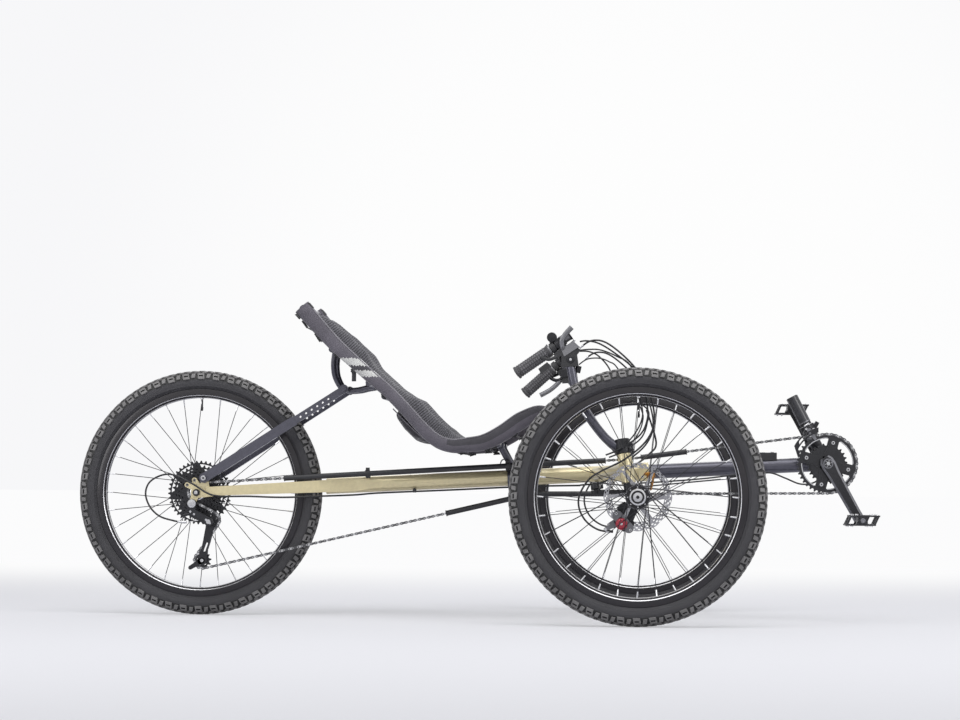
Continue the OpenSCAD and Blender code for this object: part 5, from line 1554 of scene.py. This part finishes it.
for i in range(4):
    a = spider + 90 * i
    tip = polar(middle, ring_r - 22, a)
    shape.plate(strap(polar(middle, 14, a), tip, 17, 8.5), CHAIN_Y - 5, CHAIN_Y - 1, 0, edge=2)
    shape.plate(strap(polar(middle, 14, a), tip, 14, 7.5), CHAIN_Y + 1, CHAIN_Y + 7, 0, edge=2)
    shape.rod((tip[0], CHAIN_Y - 6.5, tip[1]), (tip[0], CHAIN_Y + 9.8, tip[1]), 10, 1, sides=20)
    shape.rod((tip[0], CHAIN_Y - 6.9, tip[1]), (tip[0], CHAIN_Y - 6.3, tip[1]), 5, 0, sides=6)
    rim_mark = [polar(middle, ring_r - 12.4, a + 45 + t) for t in range(-30, 31, 3)]
    rim_mark += [polar(middle, ring_r - 9.8, a + 45 + t) for t in range(30, -31, -3)]
    shape.plate(rim_mark, CHAIN_Y - 1.45, CHAIN_Y - 0.9, 1)
shape.hand_over("windowed_chainrings", "cranks", "black_metal", (bb.x, CHAIN_Y, bb.z), bevel=0.2,
                replaces=["chainrings"])

# %% Crank arms
CRANK_LEN = 175
CRANK_Y = 78
CRANK_T = 15
ARM_BEVEL = 5.5
shape = Shape(crank_black, bright_steel, edge_grey)
for sign, heading in ((-1, -CRANK_ANGLE), (1, 180 - CRANK_ANGLE)):
    end = polar(middle, CRANK_LEN, heading)
    along = Vector((math.cos(math.radians(heading)), 0, math.sin(math.radians(heading))))
    wide = Vector((-along.z, 0, along.x))
    # columns: way along the arm, half its width, share of its thickness
    profile = [(-19, 13, 1.0), (-8, 19, 1.0), (6, 20, 1.0), (30, 17.5, 1.0), (90, 15.5, 0.96),
               (150, 14.5, 0.92), (172, 15, 0.92), (183, 12.5, 0.92), (189.5, 6, 0.92)]
    points = []
    for s, half, thick in profile:
        base = Vector((bb.x, 0, bb.z)) + along * s
        inside = sign * CRANK_Y
        outside = sign * (CRANK_Y + CRANK_T * thick)
        bevel_at = outside - sign * ARM_BEVEL
        for w, y in ((-half, inside), (half, inside), (half, bevel_at), (half - ARM_BEVEL, outside),
                     (-half + ARM_BEVEL, outside), (-half, bevel_at)):
            points.append(base + wide * w + Vector((0, y, 0)))
    n = len(profile)
    for k, look in ((0, 0), (1, 0), (2, 2), (3, 0), (4, 2), (5, 0)):
        shape.add(points, [(i * 6 + k, i * 6 + (k + 1) % 6, (i + 1) * 6 + (k + 1) % 6, (i + 1) * 6 + k)
                           for i in range(n - 1)], look)
    shape.add(points, [(5, 4, 3, 2, 1, 0), tuple((n - 1) * 6 + k for k in range(6))], 0)
    bmesh.ops.remove_doubles(shape.mesh, verts=shape.mesh.verts, dist=0.001)
    face = sign * (CRANK_Y + CRANK_T)
    shape.rod((bb.x, face - sign * 2, bb.z), (bb.x, face + sign * 1.2, bb.z), 27, 2, sides=40)
    shape.rod((bb.x, face, bb.z), (bb.x, face + sign * 2.0, bb.z), 21, 0, sides=36)
    shape.rod((bb.x, face + sign * 1, bb.z), (bb.x, face + sign * 2.6, bb.z), 11, 1, sides=6)
    for i in range(6):
        x, z = polar(middle, 8.0, 60 * i + 15)
        shape.rod((x, face + sign * 1.6, z), (x, face + sign * 2.5, z), 2.6, 1, sides=8)
    shape.rod((end[0], face, end[1]), (end[0], face + sign * 1.8, end[1]), 19, 2, sides=32)
shape.rod((bb.x, -CRANK_Y, bb.z), (bb.x, CRANK_Y, bb.z), 24, 1, sides=40)
shape.rod((bb.x, -CRANK_Y, bb.z), (bb.x, -46.8, bb.z), 33.5, 0, sides=40)
shape.rod((bb.x, 37, bb.z), (bb.x, CRANK_Y, bb.z), 39, 0, sides=40)
shape.hand_over("forged_crank_arms", "cranks", "black_metal", (bb.x, 0, bb.z), bevel=0.6, sharp=25,
                replaces=["crank_arms"])

# %% Pedals
for side, sign, heading in (("right", -1, -CRANK_ANGLE), ("left", 1, 180 - CRANK_ANGLE)):
    pedal_x, pedal_z = polar(middle, CRANK_LEN, heading)
    shape = Shape(black_satin, bright_steel, edge_grey)
    y1, y2 = CRANK_Y + CRANK_T + 8, CRANK_Y + CRANK_T + 100
    half_h, slant = 14, 13

    def skewed(x, z):
        """A place on the pedal's leaning side view."""
        return (pedal_x + x + (z / half_h) * slant / 2, pedal_z + z)

    outer_edge = [skewed(x, z) for x, z in ((-39.5, -14), (39.5, -14), (39.5, 14), (-39.5, 14))]
    windows = []
    for low, high in ((-34, -13.5), (13.5, 34)):
        windows.append([skewed(x, z) for x, z in ((low, -9.8), (high, -9.8), (high, 9.8), (low, 9.8))])
    for a, b in ((y1, y1 + 5), (y2 - 5, y2)):
        low, high = min(sign * a, sign * b), max(sign * a, sign * b)
        shape.plate(outer_edge, low, high, 0, holes=windows, edge=2)
    for x, z in ((-36.7, -11.9), (36.7, -11.9), (36.7, 11.9), (-36.7, 11.9)):
        cx, cz = skewed(x, z)
        shape.block((cx, sign * (y1 + y2) / 2, cz), (8, y2 - y1 - 8, 4.2), 0)
    for x in (-37, 37):
        cx, cz = skewed(x, 0)
        for y in (y1 + 30, y1 + 62):
            shape.block((cx, sign * y, cz), (5, 6, 24), 0, tilt=-25)
    for x in (-32, -20, 20, 32):
        for y in (y1 + 8, y2 - 8, (y1 + y2) / 2):
            for z in (-14, 14):
                cx, cz = skewed(x, z)
                tip = 3.4 if z > 0 else -3.4
                shape.rod((cx, sign * y, cz - tip), (cx, sign * y, cz + tip), 3.4, 1, sides=8, d_end=2.2)
    pedal_middle = (pedal_x, sign * (y1 + y2) / 2, pedal_z)
    shape.block(pedal_middle, (27, y2 - y1 - 2, 22), 0, taper=0.92)
    # columns: from y, to y, diameter, finish, sides
    for start, end, d, look, sides in ((y1, y2 + 2.6, 25, 0, 6), (y2, y2 + 3, 13, 2, 24),
                                       (CRANK_Y + 1, y1 + 3, 13.8, 1, 28),
                                       (CRANK_Y + CRANK_T + 2, y1 - 0.6, 18, 0, 6)):
        shape.rod((pedal_x, sign * start, pedal_z), (pedal_x, sign * end, pedal_z), d, look, sides=sides)
    shape.hand_over(side + "_cage_pedal", side + "_pedal", "black_metal", pedal_middle, bevel=0.35,
                    replaces=[side + "_pedal"])

# %% [markdown]
# The derailleurs. At the back, a knuckle hangs from the frame, a parallelogram of two links leads
# to a long cage, and the cage holds two toothed pulleys. At the front, a band clamps on the post
# and two thin blades stand either side of the chain.

# %% Rear derailleur
GUIDE_PIVOT = (GUIDE[0] - 4, GUIDE[1] - 4)
HANGER = (stub.x - 11, stub.z - 30)
FACE = -DROPOUT_OUT
shape = Shape(black_satin, bright_steel, edge_grey, sprocket_black)
low = (HANGER[0] + 2, HANGER[1] - 26)
shape.turn([(0.01, -14), (5, -14), (5.6, -13.4), (11.4, -13), (12, -12), (12, -1), (10, 0)],
           centre=(HANGER[0], FACE, HANGER[1]), finish=[1, 1, 1, 0, 0, 0], steps=36)
shape.rod((HANGER[0], FACE, HANGER[1]), (HANGER[0], FACE + 5.4, HANGER[1]), 9.6, 1, sides=24)
shape.plate(strap(HANGER, low, 9.5, 9), FACE - 12, FACE - 1, 0)
for spread, y1, y2, look in ((4, FACE - 18, FACE - 15, 0), (-3, FACE - 13, FACE - 9, 3),
                             (1, FACE - 6, FACE - 2, 0)):
    a = (low[0], low[1] + spread)
    b = (GUIDE_PIVOT[0], GUIDE_PIVOT[1] + spread)
    shape.plate(strap(a, b, 8.4, 8), y1, y2, look, edge=2)
for x, z in ((low[0] - 4, low[1] + 4), (low[0] + 6, low[1] - 3), (GUIDE_PIVOT[0] - 6, GUIDE_PIVOT[1] + 5),
             (GUIDE_PIVOT[0] + 5, GUIDE_PIVOT[1] - 4)):
    shape.rod((x, FACE - 19, z), (x, FACE - 2, z), 6, 1, sides=16)
shape.turn([(0.01, -18.4), (6, -18.4), (6.6, -17.6), (11.5, -17), (12, -16), (12, 12)],
           centre=(GUIDE_PIVOT[0], FACE, GUIDE_PIVOT[1]), finish=[1, 1, 0, 0, 0], steps=36)
shape.rod((low[0] - 24, FACE - 12, low[1] - 6), (low[0] - 4, FACE - 11, low[1] - 2), 8, 0, sides=16)
shape.rod((-36, -86, 256), (-24, -86, 256), 7.4, 1, sides=16)
shape.rod((-20, -86, 256), (8, -88, 262), 1.6, 1, sides=8)
# cage: two plates with cut-outs, drawn between the pulleys
heading = math.atan2(TENSION[1] - GUIDE[1], TENSION[0] - GUIDE[0])
d = (math.cos(heading), math.sin(heading))


def in_cage(s, w):
    """A place s along the line from guide to tension pulley, and w to its side."""
    return (GUIDE[0] + d[0] * s - d[1] * w, GUIDE[1] + d[1] * s + d[0] * w)


outline = [polar(GUIDE, 11.5, math.degrees(heading) + 90 + t) for t in range(0, 181, 20)]
outline += [in_cage(30, -11), in_cage(58, -9.5), in_cage(82, -9)]
outline += [polar(TENSION, 13, math.degrees(heading) - 90 + t) for t in range(0, 181, 20)]
outline += [in_cage(82, 8), in_cage(58, 10), in_cage(30, 10.5)]
hollow = [in_cage(60, 0), in_cage(88, -3.5), in_cage(92, 2.5), in_cage(64, 5.5)]
for y1, y2 in ((CHAIN_Y - 7, CHAIN_Y - 4.7), (CHAIN_Y + 4.7, CHAIN_Y + 7)):
    shape.plate(outline, y1, y2, 0, holes=[hollow], edge=2)
tail = (TENSION[0] - 32, TENSION[1] - 20)
shape.plate(strap(TENSION, tail, 8, 5.5), CHAIN_Y - 7, CHAIN_Y - 4.7, 0, edge=2)
shape.rod((tail[0], CHAIN_Y - 8, tail[1]), (tail[0], CHAIN_Y - 4, tail[1]), 7, 0, sides=16)
for centre in (GUIDE, TENSION):
    windows = [circle(polar(centre, 11.5, 72 * i + 20), 3.6, 14) for i in range(5)]
    shape.plate(tooth_outline(centre, PULLEY_TEETH, 8), CHAIN_Y - 1, CHAIN_Y + 1, 3, holes=windows)
    shape.rod((centre[0], CHAIN_Y - 8.4, centre[1]), (centre[0], CHAIN_Y + 8.4, centre[1]), 9, 1, sides=20)
    shape.rod((centre[0], CHAIN_Y - 4.6, centre[1]), (centre[0], CHAIN_Y + 4.6, centre[1]), 14, 0, sides=20)
shape.hand_over("long_cage_derailleur", "frame", "black_metal", (HANGER[0], FACE, HANGER[1]), bevel=0.3,
                replaces=["rear_derailleur"])

# %% Front derailleur and the post
POST_LEAN = 27.3
POST_LEN = 205
lean = Vector((-math.sin(math.radians(POST_LEAN)), 0, math.cos(math.radians(POST_LEAN))))
post_foot = Vector((bb.x, 0, bb.z))
band = post_foot + lean * 108
shape = Shape(black_satin, bright_steel, edge_grey)
shape.rod(band - lean * 9, band + lean * 9, 41, 0, sides=40)
shape.rod(band + lean * 9, band + lean * 10.5, 38, 1, sides=40)
shape.rod(band - lean * 26, band - lean * 20, 37, 0, sides=40)
for s in (-5, 5):
    tip = band + lean * s
    shape.rod(tip + Vector((19, -4, 10)), tip + Vector((19, 10, 10)), 6, 1, sides=12)
shape.block(band + Vector((22, 0, 11)), (12, 14, 18), 0, tilt=-POST_LEAN, taper=0.9)
body_at = band + Vector((2, -36, -8))
shape.block(body_at, (30, 26, 22), 0, tilt=-20, taper=0.8)
shape.block(body_at + Vector((4, -8, -14)), (24, 12, 14), 2, tilt=24, taper=0.85)
for dx, dz in ((-10, 6), (10, 6), (-4, -12), (12, -14)):
    shape.rod(body_at + Vector((dx, -19, dz)), body_at + Vector((dx, 10, dz)), 6.4, 1, sides=16)
shape.rod(body_at + Vector((-14, -10, 14)), body_at + Vector((-2, -10, 22)), 5, 1, sides=12)
link_outline = strap((body_at.x - 2, body_at.z + 2), (body_at.x + 14, body_at.z - 20), 6, 4)
shape.plate(link_outline, -58.5, -56, 2)
for y1 in (CHAIN_Y - 6.4, CHAIN_Y + 4.5):
    blade = [polar(middle, ring_r + 21, a) for a in range(104, 153, 4)]
    blade += [polar(middle, ring_r + (-1 if a > 155 else 7.5), a) for a in range(170, 103, -4)]
    hollow = [polar(middle, ring_r + 17, a) for a in range(118, 143, 4)]
    hollow += [polar(middle, ring_r + 11.5, a) for a in range(146, 117, -4)]
    shape.plate(blade, y1, y1 + 1.8, 0, holes=[hollow], edge=1)
lift = [polar(middle, ring_r + 21, a) for a in (104, 117)]
lift += [polar(middle, ring_r + 18, a) for a in (117, 104)]
shape.plate(lift, CHAIN_Y - 5, CHAIN_Y + 5, 1)
shape.hand_over("front_derailleur_parts", "frame", "black_metal", band, bevel=0.35,
                replaces=["front_derailleur"])

wrap = finish("post_wrap", (0.026, 0.026, 0.030), rough=0.32, vary=0.2, grain=60, bump=0.12, coat=0.35)
shape = Shape(wrap, edge_grey, black_satin)
shape.rod(post_foot + lean * 128, post_foot + lean * (POST_LEN + 0.4), 33.4, 0, sides=48)
shape.rod(post_foot + lean * (POST_LEN + 0.2), post_foot + lean * (POST_LEN + 1.6), 29, 2, sides=48)
# A thin lighter grey line along the wrap's near side is a painted highlight stripe.
highlight_stripe_side = Vector((lean.z, 0, -lean.x)) * -14.6 + Vector((0, -8.4, 0))
shape.rod(post_foot + lean * 129 + highlight_stripe_side, post_foot + lean * POST_LEN + highlight_stripe_side, 1.6, 1, sides=8)
shape.rod(post_foot + lean * 126.5, post_foot + lean * 129.5, 34.6, 1, sides=48)
shape.hand_over("post_wrapping", "frame", "black_plastic", post_foot + lean * 165, bevel=0.3)

# %% [markdown]
# Small parts on the frame: bolts at the dropouts, clips on the tubes, the clamp lever at the boom
# joint, the accessory block's screws, and the front derailleur's cable.

# %% Frame trim
lever_gold = finish("clamp_lever_gold", (0.52, 0.24, 0.05), rough=0.32, metal=0.7, vary=0.15, bump=0.05)


def main_z(x):
    """Height of the middle of the main tube and boom."""
    return bb.z + (x - bb.x) * (bb.z - 359) / (bb.x - 380)


STAY_BOLT = (22, 377)
SEAT_BOLT = (402, 624)
EYELETS = ((-6, 371), (-26, 358))
WASHER_T = 1
shape = Shape(bright_steel, black_moulded, gold_paint, lever_gold, dull_steel)
for sign in (-1, 1):
    # columns: place, from y, to y, diameter, finish, sides
    for (x, z), y1, y2, d, look, sides in ((STAY_BOLT, 72, 79, 12, 4, 20),
                                           (STAY_BOLT, 94.2, 98, 13.5, 0, 24),
                                           (STAY_BOLT, 96, 98.6, 6.5, 1, 6),
                                           (SEAT_BOLT, 76, 79, 13, 0, 24)):
        shape.rod((x, sign * y1, z), (x, sign * y2, z), d, look, sides=sides)
    for x, z in EYELETS:
        y = sign * DROPOUT_OUT - (WASHER_T if sign < 0 else 0)
        shape.turn([(2.7, 0), (4.4, 0), (4.4, WASHER_T), (2.7, WASHER_T)], centre=(x, y, z), finish=4,
                   steps=20, closed=True)
for x in (594, 900):
    shape.rod((x, -24, main_z(x) - 21), (x, -10, main_z(x) - 23), 9, 1, sides=12)
    shape.block((x, -19, main_z(x) - 24), (9, 14, 9), 1)
path = run_line(1, 238, 1120)
rise = (path[-1].z - path[0].z) / (path[-1].x - path[0].x)
for x in (468, 852):
    z = path[0].z + rise * (x - path[0].x)
    shape.rod((x - 6, CHAIN_Y, z - 6 * rise), (x + 6, CHAIN_Y, z + 6 * rise), 21, 1, sides=24)
    shape.block((x, CHAIN_Y, z + 12), (10, 12, 9), 1)
    shape.block((x, -36, z - 10), (10, 26, 5), 1)
hoop = [(830, -24, 414), (831, -24, 426), (835, -24, 433), (841, -24, 435), (847, -24, 433), (852, -24, 426),
        (853, -24, 414)]
shape.tube(smooth_line(hoop, 4), 3.6, 4, sides=8)
for x in (1553, 1577):
    shape.rod((x, 0, main_z(x) + 36), (x, 0, main_z(x) + 39.5), 8.5, 0, sides=16)
BOOM_START = 1238
clamp_x, clamp_z = BOOM_START - 17, main_z(BOOM_START)
for z in (clamp_z - 14, clamp_z + 12):
    shape.rod((clamp_x, -24, z), (clamp_x, -34, z), 8, 0, sides=16)
shape.block((clamp_x, -25, clamp_z), (22, 9, 44), 2, taper=0.9)
lever = [(1246, -34, 399), (1250, -38, 385), (1247, -39, 368), (1243, -38, 354)]
shape.tube(smooth_line(lever, 5), 9, 3, sides=12, flat=0.7)
shape.rod((1238, -26, 393), (1250, -42, 393), 15, 3, sides=24)
shape.rod((1226, -30, 398), (1262, -34, 402), 7, 3, sides=16)
shape.rod((1712, 0, main_z(1712) + 18), (1716, 0, main_z(1716) + 24), 7, 0, sides=12)
shape.hand_over("frame_bolts_and_clips", "frame", "steel", (640, 0, 372), bevel=0.3)

shape = cable_shape([(1200, -34, 372), (1290, -33, 378), (1400, -30, 388), (1510, -26, 402), (1570, -24, 404),
                     (1611, -26, 390), (1653, -28, 374), (1689, -30, 378), (1716, -34, 398)], d=4.4)
shape.hand_over("front_derailleur_cable", "frame", "black_plastic", (1570, -24, 404), bevel=0)

# %% Rear shift cable
shape = cable_shape([(1050, -16, 365), (900, -20, 361), (700, -20, 350), (500, -20, 340), (430, -26, 334),
                     (340, -60, 330), (240, -80, 326), (150, -90, 328), (51, -94, 330), (-4, -95, 359),
                     (-53, -95, 383), (-88, -95, 385), (-124, -95, 366), (-136, -95, 334), (-124, -95, 298),
                     (-97, -94, 272), (-60, -90, 260), (-36, -86, 256)], d=5.0, per=8, ends=(False, True))
shape.hand_over("rear_shift_housing", "frame", "black_plastic", (430, -26, 334), bevel=0,
                replaces=["shift_cable"])

# %% Idler wheel
ROLLER_R = 22.0
RIM_R = 24.0
roller = (IDLER[0], CHAIN_Y, IDLER[1] - pitch_radius(IDLER_TEETH) + ROLLER_R)
shape = Shape(sprocket_black, bright_steel)
groove_r = ROLLER_R - 4
shape.turn([(0.01, -8), (5, -8), (6, -5), (RIM_R - 4, -4.4), (RIM_R, -3.8), (RIM_R, -2.9), (groove_r, -2),
            (groove_r, 2), (RIM_R, 2.9), (RIM_R, 3.8), (RIM_R - 4, 4.4), (9, 6), (7, 26)],
           centre=roller, finish=0, steps=48)
shape.rod((roller[0], CHAIN_Y - 7.5, roller[2]), (roller[0], CHAIN_Y - 10, roller[2]), 8, 1, sides=6)
shape.hand_over("idler_wheel", "frame", "black_metal", roller, bevel=0.2, replaces=["chain_idler"])
